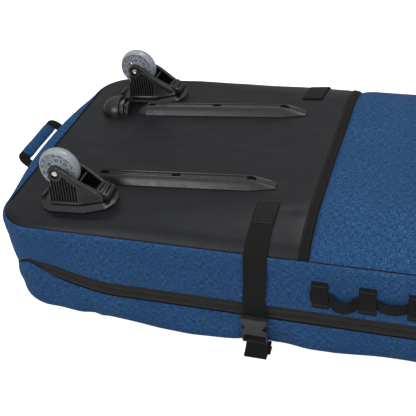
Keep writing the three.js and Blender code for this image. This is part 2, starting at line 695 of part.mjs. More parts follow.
// The tab ends close behind the pin, so that its heel clears the slider plate as it turns.
function pullerBody() {
  const heel = 2.2;
  const tab = box(-heel, 30, PIN_Y - 2, PIN_Y + 1.9, -2.9, 2.9);
  const grip = box(26, 52, PIN_Y - 2, PIN_Y + 1.4, -6, 6);
  return cut(union(tab, grip), post(1.7, 0, PIN_Y, -9, 9, 10));
}

function addSliders() {
  const pullers = [mirrorX(pullerBody()), pullerBody()];
  ['a', 'b'].forEach((name, i) => {
    add(`zip_slider_${name}`, sliderBody(), STEEL).position.set(SLIDER_XS[i], 0, ZIP_Z);
    add(`zip_puller_${name}`, pullers[i], PLASTIC).position.set(SLIDER_XS[i], 0, ZIP_Z);
  });
}

const mirrorX = (geometry) => fromSolid(toSolid(geometry).mirror([1, 0, 0]));

// ---------------------------------------------------------------- build

deck.updateMatrix();
const deckMatrix = deck.matrix.clone();

addLid();
addTub();
addStiffener();
addBoardStraps();
addDeckGear();
addStraps();
addDaisyChain();
addHandles();
addSliders();

export default bag;
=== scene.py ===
"""Wheeled snowboard bag lying on its lid: the looks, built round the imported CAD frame.

Lengths in this script are millimetres, and become metres when a piece is placed.
+X runs from the wheel end to the tail, -Y is the zipped side, +Z is up, and the origin is
on the floor under the middle of the lid.
"""

import json
import math

import bmesh
import bpy
import numpy as np
from mathutils import Matrix, Vector, noise


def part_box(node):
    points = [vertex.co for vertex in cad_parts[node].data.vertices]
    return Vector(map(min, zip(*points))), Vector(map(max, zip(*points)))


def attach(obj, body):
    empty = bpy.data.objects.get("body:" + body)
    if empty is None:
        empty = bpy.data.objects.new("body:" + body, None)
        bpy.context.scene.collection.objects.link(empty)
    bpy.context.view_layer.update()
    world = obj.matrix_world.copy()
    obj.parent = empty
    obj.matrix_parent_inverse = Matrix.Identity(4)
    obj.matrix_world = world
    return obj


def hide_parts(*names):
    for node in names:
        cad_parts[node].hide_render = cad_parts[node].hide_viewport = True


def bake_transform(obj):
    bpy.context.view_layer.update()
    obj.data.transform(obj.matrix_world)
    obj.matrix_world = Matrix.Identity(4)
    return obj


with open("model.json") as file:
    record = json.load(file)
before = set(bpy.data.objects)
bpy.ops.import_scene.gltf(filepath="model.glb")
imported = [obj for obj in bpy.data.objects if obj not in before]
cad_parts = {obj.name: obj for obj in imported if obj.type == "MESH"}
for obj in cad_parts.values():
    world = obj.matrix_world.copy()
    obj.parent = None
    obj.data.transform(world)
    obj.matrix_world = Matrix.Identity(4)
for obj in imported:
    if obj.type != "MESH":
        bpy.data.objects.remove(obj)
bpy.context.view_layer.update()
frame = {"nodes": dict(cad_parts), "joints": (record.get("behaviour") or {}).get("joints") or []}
NODES = frame["nodes"]
JOINTS = {joint["name"]: joint for joint in frame["joints"]}
MM = 0.001


# ---- sizes read from the frame


def box_mm(node):
    low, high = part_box(node)
    return low / MM, high / MM


def centre_mm(node):
    low, high = box_mm(node)
    return (low + high) / 2


HALF_LENGTH = box_mm("deck_panel_blue")[1].x
END_PUFF = box_mm("tub_wall")[1].x - HALF_LENGTH  # the padded ends stand this far past the deck
HALF_WIDTH = box_mm("tub_wall")[1].y
PANEL_T = 4
EDGE_Z = box_mm("deck_panel_black")[0].z + PANEL_T  # seam between the deck and the side wall
SEAM_X = box_mm("deck_panel_blue")[0].x  # black panel ends, blue fabric begins
ZIP_Z = JOINTS["clamshell_open"]["pos_m"][2] / MM
STRAP_X = centre_mm("strap_far").x
BUCKLE_X = centre_mm("buckle_female").x
CARRY_HINGE = Vector(JOINTS["carry_handle_swing"]["pos_m"]) / MM

FIRST_SCREW, LAST_SCREW = centre_mm("rail_screw_near_1"), centre_mm("rail_screw_near_3")
DECK_SLOPE = math.atan2(LAST_SCREW.z - FIRST_SCREW.z, LAST_SCREW.x - FIRST_SCREW.x)
HUB_Z = 61  # axle above the deck
AXLE = centre_mm("wheel_tyre_far")
TRACK_HALF = AXLE.y
DECK_TILT = Matrix.Rotation(-DECK_SLOPE, 4, "Y")
DECK_ORIGIN = Vector((AXLE.x, 0, AXLE.z)) - DECK_TILT @ Vector((0, 0, HUB_Z))
DECK = Matrix.Translation(DECK_ORIGIN) @ DECK_TILT  # deck's own frame, origin under the axle
AXLE_X, DECK_Z = DECK_ORIGIN.x, DECK_ORIGIN.z
RAIL_Y = abs(FIRST_SCREW.y)
RAIL_SCREWS = [(DECK.inverted() @ centre_mm(f"rail_screw_near_{i}")).x for i in (1, 2, 3)]

CORNER_R = 65  # corners of the deck and the lid, seen from above
ZIP_RISE = 39  # the zip climbs this much before each corner
ZIP_RAMP_X = 640  # where it starts to climb
ZIP_PEAK_X = 780  # and where it is highest, before it dips round the end
ZIP_DIP = 0.75  # share of the climb that it loses there
TAPE_W = 14  # half the visible height of the zip band
WALL_T = 7
LID_WALL_T = 5
LID_INSET = 26  # the lid's wall turns under the bag this far
LID_LINER_INSET = 12
LINER_DROP = 12.2  # the tub's liner hangs this far under the deck
LINER_T = 1.6
STRAP_W = 36
WEB_T = 1.6
CARRY_SPAN = 210  # between the feet of the carry handle
BOARD_STRAPS = ("board_strap_front", "board_strap_rear")
SIDES = {"near": -1, "far": 1}
X_AXIS, Y_AXIS, Z_AXIS = Vector((1, 0, 0)), Vector((0, 1, 0)), Vector((0, 0, 1))

# Angles in degrees, under which an edge is shaded smooth.
SMOOTH_EDGES = 35
SMOOTH_WEBBING = 50
SMOOTH_ALL = 180


# ---- small maths


def clamp(t):
    return min(1.0, max(0.0, t))


def smooth(t):
    t = clamp(t)
    return t * t * (3 - 2 * t)


def mix(a, b, t):
    return a + (b - a) * t


def hill(value, centre, width):
    """1 at the centre, falling smoothly to 0 at a width away."""
    return smooth(1 - abs(value - centre) / width)


def ripple(x, y, z, size, seed=0.0):
    """Smooth noise between about -1 and 1, with waves of about this size."""
    return noise.noise(Vector((x / size + seed, y / size - seed, z / size + 2 * seed)))


def turn(degrees, radius=1.0):
    a = math.radians(degrees)
    return radius * math.cos(a), radius * math.sin(a)


def spline(points, step):
    """Points along a smooth curve through the given ones, about a step apart."""
    knots = [Vector(p) for p in points]
    ends = [2 * knots[0] - knots[1], *knots, 2 * knots[-1] - knots[-2]]
    path = []
    for i in range(len(knots) - 1):
        p0, p1, p2, p3 = ends[i:i + 4]
        count = max(1, round((p2 - p1).length / step))
        for k in range(count):
            t = k / count
            path.append(0.5 * (2 * p1 + (p2 - p0) * t + (2 * p0 - 5 * p1 + 4 * p2 - p3) * t * t
                               + (3 * p1 - p0 - 3 * p2 + p3) * t ** 3))
    path.append(knots[-1])
    return path


# ---- the bag's outer shape


def half_width(x, inset=0.0):
    over = abs(x) - (HALF_LENGTH - CORNER_R)
    if over <= 0:
        return HALF_WIDTH - inset
    return HALF_WIDTH - CORNER_R + math.sqrt(max(0.0, (CORNER_R - inset) ** 2 - over ** 2))


def crest(x):
    """Height of the deck along the middle of the bag."""
    slope = math.tan(DECK_SLOPE)
    ease_from, ease_length = SEAM_X - 17, 270
    tail_from, tail_drop = 480, 38
    if x <= ease_from:
        return DECK_Z + slope * (x - AXLE_X)
    s = min(x - ease_from, ease_length)
    top = DECK_Z + slope * (ease_from - AXLE_X) + slope * (s - s * s / (2 * ease_length))
    return top - tail_drop * clamp((x - tail_from) / (HALF_LENGTH - tail_from)) ** 2


def deck_height(x, y):
    """The deck is flat between the wheel brackets and rolls off to the side seams."""
    bracket_end = AXLE_X + 95
    flat_at_wheels, flat_on_blue = 218, 140
    flat = mix(flat_at_wheels, flat_on_blue, clamp((x - bracket_end) / (SEAM_X - bracket_end)))
    edge = half_width(x)
    start = min(flat, edge - 1)
    t = clamp((abs(y) - start) / (edge - start))
    return crest(x) - (crest(x) - EDGE_Z) * t * t


def zip_height(x):
    climb = clamp((abs(x) - ZIP_RAMP_X) / (ZIP_PEAK_X - ZIP_RAMP_X)) ** 1.5
    dip = ZIP_DIP * smooth((abs(x) - ZIP_PEAK_X) / (HALF_LENGTH - ZIP_PEAK_X))
    return ZIP_Z + ZIP_RISE * climb * (1 - dip)


def band_half(x):
    """Half the visible height of the zip band; the fabric closes over it round both ends."""
    closed_half, closes_from, closes_over = 2.2, 722, 82
    return mix(TAPE_W, closed_half, smooth((abs(x) - closes_from) / closes_over))


def outline(step):
    """Stations (x, y, nx, ny) once round the bag, from the middle of the far side over the wheel
    end, the zipped side and the tail end."""
    straight_x, straight_y = HALF_LENGTH - CORNER_R, HALF_WIDTH - CORNER_R
    corner_steps = 12
    stations = []

    def straight(a, b, normal):
        count = round(math.dist(a, b) / step)
        stations.extend((*[mix(p, q, k / count) for p, q in zip(a, b)], *normal)
                        for k in range(count))

    def corner(cx, cy, start):
        for k in range(corner_steps):
            nx, ny = turn(start + 90 * k / corner_steps)
            stations.append((cx + CORNER_R * nx, cy + CORNER_R * ny, nx, ny))

    straight((0, HALF_WIDTH), (-straight_x, HALF_WIDTH), (0, 1))
    corner(-straight_x, straight_y, 90)
    straight((-HALF_LENGTH, straight_y), (-HALF_LENGTH, -straight_y), (-1, 0))
    corner(-straight_x, -straight_y, 180)
    straight((-straight_x, -HALF_WIDTH), (straight_x, -HALF_WIDTH), (0, -1))
    corner(straight_x, -straight_y, 270)
    straight((HALF_LENGTH, -straight_y), (HALF_LENGTH, straight_y), (1, 0))
    corner(straight_x, straight_y, 0)
    straight((straight_x, HALF_WIDTH), (0, HALF_WIDTH), (0, 1))
    return stations


def end_puff(station):
    """How far the padding of an end wall stands out at a station."""
    if abs(station[2]) < 0.999:
        return 0.0
    return END_PUFF * (1 - (station[1] / (HALF_WIDTH - CORNER_R)) ** 2) ** 1.5


def is_hinge_side(station):
    """The straight of the far side, where the lid is sewn on and there is no zip."""
    return station[3] > 0.999 and abs(station[0]) < ZIP_RAMP_X


# ---- meshes


def make_object(name, verts, faces):
    mesh = bpy.data.meshes.new(name)
    mesh.from_pydata([tuple(v) for v in verts], [], faces)
    mesh.validate()
    obj = bpy.data.objects.new(name, mesh)
    bpy.context.scene.collection.objects.link(obj)
    return obj


def lay_uv(obj, coordinates):
    """Writes a UV map, in metres, from one (u, v) in millimetres for each corner of each face."""
    layer = obj.data.uv_layers.new(name="weave")
    layer.data.foreach_set("uv", (np.array(coordinates, dtype=np.float32) * MM).ravel())


def running_length(rows):
    steps = [np.linalg.norm(b - a, axis=1).mean() for a, b in zip(rows[:-1], rows[1:])]
    return np.concatenate([[0.0], np.cumsum(steps)])


def sheet(rows, around=False, across=False, flip=False):
    """A grid of points as a surface. around joins the last row to the first, and across joins the
    ends of each row. The UV map runs along the rows' order (u) and along each row (v)."""
    grid = np.array([[tuple(p) for p in row] for row in rows], dtype=float)
    n_rows, n_cols = grid.shape[:2]
    u = running_length(grid)
    v = running_length(np.swapaxes(grid, 0, 1))
    faces, corners = [], []
    for r in range(n_rows if around else n_rows - 1):
        for c in range(n_cols if across else n_cols - 1):
            r2, c2 = (r + 1) % n_rows, (c + 1) % n_cols
            u1, u2 = u[r], u[r2] if r2 else 2 * u[-1] - u[-2]
            v1, v2 = v[c], v[c2] if c2 else 2 * v[-1] - v[-2]
            quad = [(r, c, u1, v1), (r2, c, u2, v1), (r2, c2, u2, v2), (r, c2, u1, v2)]
            if flip:
                quad.reverse()
            faces.append([i * n_cols + j for i, j, _, _ in quad])
            corners.extend((a, b) for _, _, a, b in quad)
    obj = make_object("sheet", grid.reshape(-1, 3), faces)
    lay_uv(obj, corners)
    return obj


def cap_ends(obj):
    """Closes every open edge loop of a mesh with a face."""
    shape = bmesh.new()
    shape.from_mesh(obj.data)
    bmesh.ops.holes_fill(shape, edges=[e for e in shape.edges if e.is_boundary])
    bmesh.ops.recalc_face_normals(shape, faces=shape.faces)
    shape.to_mesh(obj.data)
    shape.free()
    return obj


def tube(rings, flip=False):
    """Rings of points as one closed surface."""
    return cap_ends(sheet(rings, across=True, flip=flip))


def prism(outline_xz, y0, y1, bevel=0.0, segments=2):
    """An outline of (x, z) points pushed along Y, with its edges rounded."""
    shape = bmesh.new()
    front = [shape.verts.new((x, y0, z)) for x, z in outline_xz]
    back = [shape.verts.new((x, y1, z)) for x, z in outline_xz]
    shape.faces.new(front)
    shape.faces.new(back[::-1])
    for i in range(len(front)):
        j = (i + 1) % len(front)
        shape.faces.new([front[i], back[i], back[j], front[j]])
    bmesh.ops.recalc_face_normals(shape, faces=shape.faces)
    return from_bmesh(shape, bevel, segments)


def block(x0, x1, y0, y1, z0, z1, bevel=0.0, segments=2):
    return prism([(x0, z0), (x1, z0), (x1, z1), (x0, z1)], y0, y1, bevel, segments)


SHARP = 0.45  # radians; edges that turn more than this are rounded


def from_bmesh(shape, bevel=0.0, segments=2):
    """A bmesh as an object, with its sharp edges rounded by bevel."""
    if bevel:
        sharp = [e for e in shape.edges if len(e.link_faces) == 2 and e.calc_face_angle() > SHARP]
        bmesh.ops.bevel(shape, geom=sharp, offset=bevel, segments=segments, profile=0.5,
                        affect="EDGES", clamp_overlap=True)
    mesh = bpy.data.meshes.new("shape")
    shape.to_mesh(mesh)
    shape.free()
    obj = bpy.data.objects.new("shape", mesh)
    bpy.context.scene.collection.objects.link(obj)
    return obj


def lathe(profile, segments):
    """A profile of (radius, y) points turned about the Y axis; an open profile starts and ends
    on the axis, and a closed one repeats its first point."""
    rings = []
    for k in range(segments):
        c, s = turn(360 * k / segments)
        rings.append([(r * c, y, r * s) for r, y in profile])
    return weld(sheet(rings, around=True))


def weld(obj):
    """Merges points that coincide, as those of a profile do on its axis."""
    shape = bmesh.new()
    shape.from_mesh(obj.data)
    bmesh.ops.remove_doubles(shape, verts=shape.verts, dist=1e-4)
    bmesh.ops.dissolve_degenerate(shape, edges=shape.edges, dist=1e-5)
    bmesh.ops.recalc_face_normals(shape, faces=shape.faces)
    shape.to_mesh(obj.data)
    shape.free()
    return obj


def bake_modifiers(obj):
    """Replaces the mesh with its modified self."""
    bpy.context.view_layer.update()
    graph = bpy.context.evaluated_depsgraph_get()
    done = bpy.data.meshes.new_from_object(obj.evaluated_get(graph))
    obj.modifiers.clear()
    obj.data = done
    return obj


def boolean(obj, others, operation):
    for other in others:
        step = obj.modifiers.new("boolean", "BOOLEAN")
        step.solver = "MANIFOLD"
        step.operation = operation
        step.object = other
        bake_modifiers(obj)
        bpy.data.objects.remove(other)
    return obj


def union(first, *others):
    return boolean(first, others, "UNION")


def cut(first, *others):
    return boolean(first, others, "DIFFERENCE")


def reshape(obj, change):
    """Moves every vertex to change(x, y, z)."""
    for vertex in obj.data.vertices:
        vertex.co = change(*vertex.co)
    obj.data.update()
    return obj


def copy_of(obj, matrix=None):
    twin = obj.copy()
    twin.data = obj.data.copy()
    bpy.context.scene.collection.objects.link(twin)
    if matrix:
        twin.data.transform(matrix)
        if matrix.determinant() < 0:
            twin.data.flip_normals()
    return twin


def discard(*objects):
    for obj in objects:
        bpy.data.objects.remove(obj)


def joined(objects):
    """Several meshes as one object."""
    shape = bmesh.new()
    for obj in objects:
        shape.from_mesh(obj.data)
    discard(*objects)
    return from_bmesh(shape)


def thicken(obj, thickness, lined=False):
    step = obj.modifiers.new("thickness", "SOLIDIFY")
    step.thickness = thickness * MM
    step.offset = -1
    step.use_even_offset = True
    step.use_quality_normals = True
    if lined:
        step.material_offset = 1
    return obj


def soften(obj, levels=1):
    step = obj.modifiers.new("soft", "SUBSURF")
    step.levels = step.render_levels = levels
    return obj


def place(obj, name, body, slot, replaces=(), matrix=None, smooth_below=SMOOTH_EDGES,
          materials=None):
    """Finishes a piece: metres, shading, material, the body it rides on and what it stands for."""
    obj.name = obj.data.name = name
    if matrix is not None:
        obj.data.transform(matrix)
    obj.data.transform(Matrix.Scale(MM, 4))
    obj.data.materials.clear()
    for material in materials or [MATERIALS[slot]]:
        obj.data.materials.append(material)
    obj.data.shade_smooth()
    if smooth_below < SMOOTH_ALL:
        obj.data.set_sharp_from_angle(angle=math.radians(smooth_below))
    if body:
        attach(obj, body)
    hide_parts(*replaces)
    return obj


def place_cloth(obj, thickness, name, body, slot, replaces, lined=False):
    """Places a sheet as cloth of some thickness, with the lining on the inside of a lined one."""
    materials = [MATERIALS[slot], MATERIALS["lining"]] if lined else None
    return place(thicken(obj, thickness, lined), name, body, slot, replaces,
                 smooth_below=SMOOTH_ALL, materials=materials)


def place_web(obj, name, body, replaces=(), matrix=None):
    return place(obj, name, body, "webbing", replaces, matrix, SMOOTH_WEBBING)


def sew(name, stitches, body="tub", slot="webbing", matrix=None):
    """Places a list of stitches as one piece of thread."""
    return place(joined(stitches), name, body, slot, matrix=matrix, materials=[THREAD])


# ---- materials


class Graph:
    """Short forms for the shader nodes of one material."""

    def __init__(self, name):
        self.material = bpy.data.materials.new(name)
        self.material.use_nodes = True
        self.nodes = self.material.node_tree.nodes
        self.links = self.material.node_tree.links
        self.shader = self.nodes["Principled BSDF"]

    def node(self, kind, inputs=None, **settings):
        made = self.nodes.new("ShaderNode" + kind)
        for key, value in settings.items():
            setattr(made, key, value)
        for key, value in (inputs or {}).items():
            self.feed(made.inputs[key], value)
        return made

    def feed(self, socket, value):
        if isinstance(value, bpy.types.NodeSocket):
            self.links.new(value, socket)
        else:
            socket.default_value = value

    def set(self, **inputs):
        for key, value in inputs.items():
            self.feed(self.shader.inputs[key.replace("_", " ")], value)

    def uv(self):
        return self.node("UVMap", uv_map="weave").outputs["UV"]

    def place(self):
        return self.node("TexCoord").outputs["Object"]

    def scaled(self, vector, *sizes):
        """The vector divided by a size in millimetres along each axis."""
        scale = tuple(1 / (size * MM) for size in sizes)
        return self.node("Mapping", {"Vector": vector, "Scale": scale}).outputs["Vector"]

    def noise(self, vector, detail=2.0, roughness=0.5):
        inputs = {"Vector": vector, "Scale": 1.0, "Detail": detail, "Roughness": roughness}
        return self.node("TexNoise", inputs).outputs["Fac"]

    def math(self, operation, a, b=0.0):
        return self.node("Math", {0: a, 1: b}, operation=operation).outputs[0]

    def stretch(self, value, low, high, to_low=0.0, to_high=1.0):
        inputs = {"Value": value, "From Min": low, "From Max": high, "To Min": to_low,
                  "To Max": to_high}
        return self.node("MapRange", inputs).outputs["Result"]

    def mix(self, factor, a, b):
        node = self.node("Mix", data_type="RGBA")
        self.feed(node.inputs["Factor"], factor)
        for socket, value in zip([s for s in node.inputs if s.type == "RGBA"], (a, b)):
            self.feed(socket, value)
        return next(s for s in node.outputs if s.type == "RGBA")

    def bump(self, height, distance, strength=1.0, normal=None):
        inputs = {"Height": height, "Distance": distance * MM, "Strength": strength}
        if normal is not None:
            inputs["Normal"] = normal
        return self.node("Bump", inputs).outputs["Normal"]

    def waves(self, vector, axis):
        """A sine from 0 to 1 along one axis of a scaled vector, one wave a unit."""
        parts = self.node("SeparateXYZ", {"Vector": vector}).outputs
        sine = self.math("SINE", self.math("MULTIPLY", parts[axis], 2 * math.pi))
        return self.math("MULTIPLY_ADD", sine, 0.5)


def grey(value):
    """A near-neutral grey, slightly blue."""
    return (value, value, value * 1.03, 1)


def woven(graph, vector, thread):
    """Height of a plain weave with threads of this width."""
    cell = graph.scaled(vector, 2 * thread, 2 * thread, 2 * thread)
    return graph.math("MULTIPLY", graph.waves(cell, 0), graph.waves(cell, 1))


def melange(name, dark, base, light):
    """Two-tone woven polyester: slubs along the warp and the weft over a fine plain weave."""
    thread, slub_length, slub_width = 0.7, 7.5, 0.95
    g = Graph(name)
    uv = g.uv()
    warp = g.noise(g.scaled(uv, slub_length, slub_width, 1), detail=3, roughness=0.6)
    weft = g.noise(g.scaled(uv, slub_width, slub_length, 1), detail=3, roughness=0.6)
    patches = g.noise(g.scaled(g.place(), 95, 95, 95), detail=3)
    slubs = g.math("ADD", g.math("MULTIPLY", warp, 0.5), g.math("MULTIPLY", weft, 0.5))
    cool = g.mix(g.stretch(slubs, 0.4, 0.5), dark, base)
    colour = g.mix(g.stretch(slubs, 0.51, 0.62), cool, light)
    worn = tuple(c * 0.8 for c in base[:3]) + (1,)
    g.set(Base_Color=g.mix(g.stretch(patches, 0.35, 0.7, 0.0, 0.45), colour, worn),
          Roughness=g.stretch(slubs, 0.3, 0.7, 0.95, 0.8), Specular_IOR_Level=0.08,
          Sheen_Weight=0.03, Sheen_Roughness=0.4,
          Normal=g.bump(woven(g, uv, thread), 0.16, 0.7, g.bump(slubs, 0.5, 0.5)))
    return g.material


def coated_fabric():
    """Satin coated tarpaulin: a fine linen grain pressed into a thin black film."""
    g = Graph("coated_black")
    uv = g.uv()
    grain = g.noise(g.scaled(uv, 0.7, 0.7, 1), detail=3)
    scuffs = g.noise(g.scaled(g.place(), 60, 22, 40), detail=4, roughness=0.65)
    height = g.math("ADD", woven(g, uv, 0.55), g.math("MULTIPLY", grain, 0.5))
    fresh, rubbed = (0.0038, 0.0045, 0.0062, 1), (0.0075, 0.0085, 0.011, 1)
    g.set(Base_Color=g.mix(g.stretch(scuffs, 0.35, 0.75), fresh, rubbed),
          Roughness=g.stretch(scuffs, 0.3, 0.75, 0.46, 0.36), Specular_IOR_Level=0.26,
          Normal=g.bump(height, 0.1, 0.55))
    return g.material


def webbing_fabric():
    """Ribbed black webbing: warp cords along the strap crossed by a finer pick."""
    g = Graph("webbing")
    uv = g.uv()
    cords = g.waves(g.scaled(uv, 1, 1.9, 1), 1)
    picks = g.waves(g.scaled(uv, 1.3, 1, 1), 0)
    fuzz = g.noise(g.scaled(uv, 2.2, 0.8, 1), detail=3)
    height = g.math("ADD", g.math("MULTIPLY", cords, picks), g.math("MULTIPLY", fuzz, 0.35))
    g.set(Base_Color=g.mix(g.stretch(height, 0.1, 1.1), grey(0.0045), grey(0.013)),
          Roughness=0.8, Specular_IOR_Level=0.12, Sheen_Weight=0.02,
          Normal=g.bump(height, 0.3, 0.8))
    return g.material


def zip_fabric():
    """Coated zip tape with a knitted grain, and a slight brown cast."""
    g = Graph("zip_tape")
    uv = g.uv()
    knit = g.math("MULTIPLY", g.waves(g.scaled(uv, 1.5, 1, 1), 0), g.waves(g.scaled(uv, 1, 1.1, 1), 1))
    shade = g.noise(g.scaled(uv, 26, 2.2, 1), detail=3)
    dark, pale = (0.011, 0.0105, 0.0105, 1), (0.021, 0.0185, 0.0175, 1)
    g.set(Base_Color=g.mix(g.stretch(shade, 0.3, 0.7), dark, pale),
          Roughness=0.62, Specular_IOR_Level=0.2, Normal=g.bump(knit, 0.14, 0.6))
    return g.material


def lining_fabric():
    """Thin grey lining with a small ripstop grid."""
    g = Graph("lining")
    uv = g.uv()
    grid = g.math("MAXIMUM", g.waves(g.scaled(uv, 6, 1, 1), 0), g.waves(g.scaled(uv, 1, 6, 1), 1))
    ridge = g.stretch(grid, 0.93, 1.0)
    shade = g.noise(g.scaled(g.place(), 80, 80, 80), detail=3)
    cloth = g.mix(g.stretch(shade, 0.3, 0.7), grey(0.085), grey(0.125))
    g.set(Base_Color=g.mix(g.math("MULTIPLY", ridge, 0.5), cloth, grey(0.055)), Roughness=0.82,
          Sheen_Weight=0.1, Normal=g.bump(g.math("ADD", ridge, woven(g, uv, 0.5)), 0.12, 0.6))
    return g.material


def moulded_plastic(name, value, roughness=0.44, grain=0.9):
    """Moulded plastic with a spark-eroded grain and paler rubbed patches."""
    g = Graph(name)
    spot = g.place()
    fine = g.noise(g.scaled(spot, grain, grain, grain), detail=2)
    rubbed = g.noise(g.scaled(spot, 18, 18, 9), detail=4, roughness=0.65)
    g.set(Base_Color=g.mix(g.stretch(rubbed, 0.4, 0.75), grey(value), grey(value * 1.55)),
          Roughness=g.stretch(rubbed, 0.3, 0.75, roughness + 0.08, roughness - 0.08),
          Specular_IOR_Level=0.5, Normal=g.bump(fine, 0.09, 0.5))
    return g.material


def clear_plastic(name, colour, transmission, roughness, cloud=0.0):
    """Translucent plastic, a little cloudy inside and faintly scratched."""
    g = Graph(name)
    spot = g.place()
    haze = g.noise(g.scaled(spot, 7, 7, 7), detail=3)
    scratches = g.noise(g.scaled(spot, 1.2, 9, 1.2), detail=3)
    milk = tuple(min(1.0, c * 1.15 + cloud) for c in colour[:3]) + (1,)
    g.set(Base_Color=g.mix(g.stretch(haze, 0.35, 0.7), colour, milk), IOR=1.46,
          Roughness=g.stretch(scratches, 0.3, 0.75, roughness, roughness + 0.12),
          Transmission_Weight=transmission, Normal=g.bump(scratches, 0.01, 0.2))
    return g.material


def plated_metal(name, colour, roughness):
    """Brushed plating with duller stains."""
    g = Graph(name)
    spot = g.place()
    brushed = g.noise(g.scaled(spot, 0.4, 6, 0.4), detail=3)
    stains = g.noise(g.scaled(spot, 5, 5, 5), detail=3)
    dull = tuple(c * 0.62 for c in colour[:3]) + (1,)
    g.set(Base_Color=g.mix(g.stretch(stains, 0.45, 0.8), colour, dull), Metallic=1.0,
          Roughness=g.stretch(brushed, 0.3, 0.7, roughness - 0.06, roughness + 0.1),
          Normal=g.bump(brushed, 0.03, 0.5))
    return g.material


BLUE_DARK = (0.005, 0.022, 0.066, 1)
BLUE = (0.0165, 0.058, 0.147, 1)
BLUE_LIGHT = (0.056, 0.135, 0.28, 1)
MATERIALS = {
    "blue_fabric": melange("blue_fabric", BLUE_DARK, BLUE, BLUE_LIGHT),
    "coated_black": coated_fabric(),
    "webbing": webbing_fabric(),
    "zip_tape": zip_fabric(),
    "lining": lining_fabric(),
    "board": moulded_plastic("board", 0.014, 0.5),
    "black_plastic": moulded_plastic("black_plastic", 0.008, 0.3),
    "clear_tyre": clear_plastic("clear_tyre", (0.33, 0.36, 0.4, 1), 0.35, 0.1, 0.04),
    "clear_hub": clear_plastic("clear_hub", (0.3, 0.335, 0.38, 1), 0.05, 0.1),
    "steel": plated_metal("steel", (0.72, 0.68, 0.6, 1), 0.24),
    "slider_metal": plated_metal("slider_metal", (0.06, 0.06, 0.065, 1), 0.3),
}
BUCKLE_PLASTIC = moulded_plastic("buckle_plastic", 0.022, 0.4)
THREAD = moulded_plastic("thread", 0.012, 0.6, grain=0.5)


# ---- deck panels

DECK_INSET = 1.0  # the deck's edge is tucked inside the rolled top of the wall


def edge_puff(distance):
    """The panel dips into its seam and swells a little inside it."""
    swell, swell_at, dip = 2.6, 26, 3.6
    crown = swell * smooth(distance / swell_at) * math.exp(-max(0.0, distance - swell_at) / 46)
    return crown - dip * math.exp(-max(0.0, distance - 1) / 2.4)


def bare_cloth(x, y):
    """0 under the brackets, rails and bumpers, which hold the cloth flat, and 1 away from them."""
    def beyond(centre_x, centre_y, half_x, half_y):
        return max(abs(x - centre_x) - half_x, abs(abs(y) - centre_y) - half_y)

    bracket = beyond(AXLE_X + 20, TRACK_HALF, 72, 44)
    rail = beyond(AXLE_X + 145, RAIL_Y, 210, 28)
    return smooth(min(bracket, rail) / 14)


def black_relief(x, y, side, loose):
    """Folds of the coated panel: its padded edge, a crease across it, and puckers at the straps."""
    crease_x, crease_y = AXLE_X + 26 + 0.1 * y, 8
    pucker_x, pucker_y = -352, -176
    rise = 1.3 * hill(side, 14, 13)
    rise -= 3.4 * hill(x, crease_x, 15) * hill(y, crease_y, 100)
    loose *= 0.35 + 0.65 * smooth((x + 620) / 200)  # the board keeps the wheel end flat
    rise += loose * (0.7 * ripple(x, y, 0, 190, 3.1) + 0.22 * ripple(x * 0.6, y * 3.5, 0, 85, 7.7))
    rise -= 2.2 * hill(x, pucker_x, 34) * hill(y, pucker_y, 16) * math.cos((y - pucker_y) / 7.5)
    far_corner = smooth((y - 150) / 80) * smooth((x + 560) / 160)
    return rise + 1.6 * far_corner * ripple(x * 0.6, y * 2, 0, 46, 1.3)


def blue_relief(x, y, loose):
    return loose * (3.2 * ripple(x, y, 0, 230, 5.5) + 1.5 * ripple(x * 1.6, y * 0.7, 0, 90, 2.4))


def deck_relief(x, y):
    """Height of swells, folds and puckers over the plain deck surface."""
    side = half_width(x) - abs(y)
    end = HALF_LENGTH - abs(x)
    seam = abs(x - SEAM_X)
    loose = smooth(side / 40) * smooth(end / 40)
    rise = edge_puff(min(side, end)) + 0.5 * edge_puff(seam)
    rise += black_relief(x, y, side, loose) if x < SEAM_X else blue_relief(x, y, loose)
    rise -= 3.0 * math.exp(-seam / 16) * math.exp(-side / 20)  # drawn in where two seams meet
    rise += 0.8 * math.exp(-side / 13) * ripple(x, 0, 0, 23, 4.2)
    return rise * bare_cloth(x, y)


def deck_top(x, y):
    return deck_height(x, y) + deck_relief(x, y)


def across_rows(xs, inset, columns, height):
    """Rows of points across the bag, closer together towards its sides."""
    rows = []
    for x in xs:
        half = half_width(x, inset)
        ys = [half * math.sin(mix(-90, 90, k / (columns - 1)) * math.pi / 180)
              for k in range(columns)]
        rows.append([(x, y, height(x, y)) for y in ys])
    return rows


def lengthwise(x0, x1, step, corner_at=None):
    """Stations along X, with extra ones through a rounded corner that ends at corner_at."""
    count = round(abs(x1 - x0) / step)
    xs = [mix(x0, x1, k / count) for k in range(count + 1)]
    if corner_at is None:
        return xs
    sign = math.copysign(1, corner_at)
    radius = CORNER_R - 2
    turns = [corner_at - sign * radius * (1 - math.cos(k / 12 * math.pi / 2)) for k in range(12)]
    straight = [x for x in xs if sign * (corner_at - x) >= radius]
    return sorted(straight + turns)


def build_deck():
    wheel_end, tail_end = -HALF_LENGTH + DECK_INSET, HALF_LENGTH - DECK_INSET
    gap = 0.6  # each panel stops this far short of their seam
    panels = {"black": ("coated_black", lengthwise(wheel_end, SEAM_X - gap, 7, corner_at=wheel_end)),
              "blue": ("blue_fabric", lengthwise(SEAM_X + gap, tail_end, 8, corner_at=tail_end))}
    for colour, (slot, xs) in panels.items():
        panel = sheet(across_rows(xs, DECK_INSET, 97, deck_top))
        place_cloth(panel, PANEL_T, f"deck_{colour}", "tub", slot, [f"deck_panel_{colour}"])


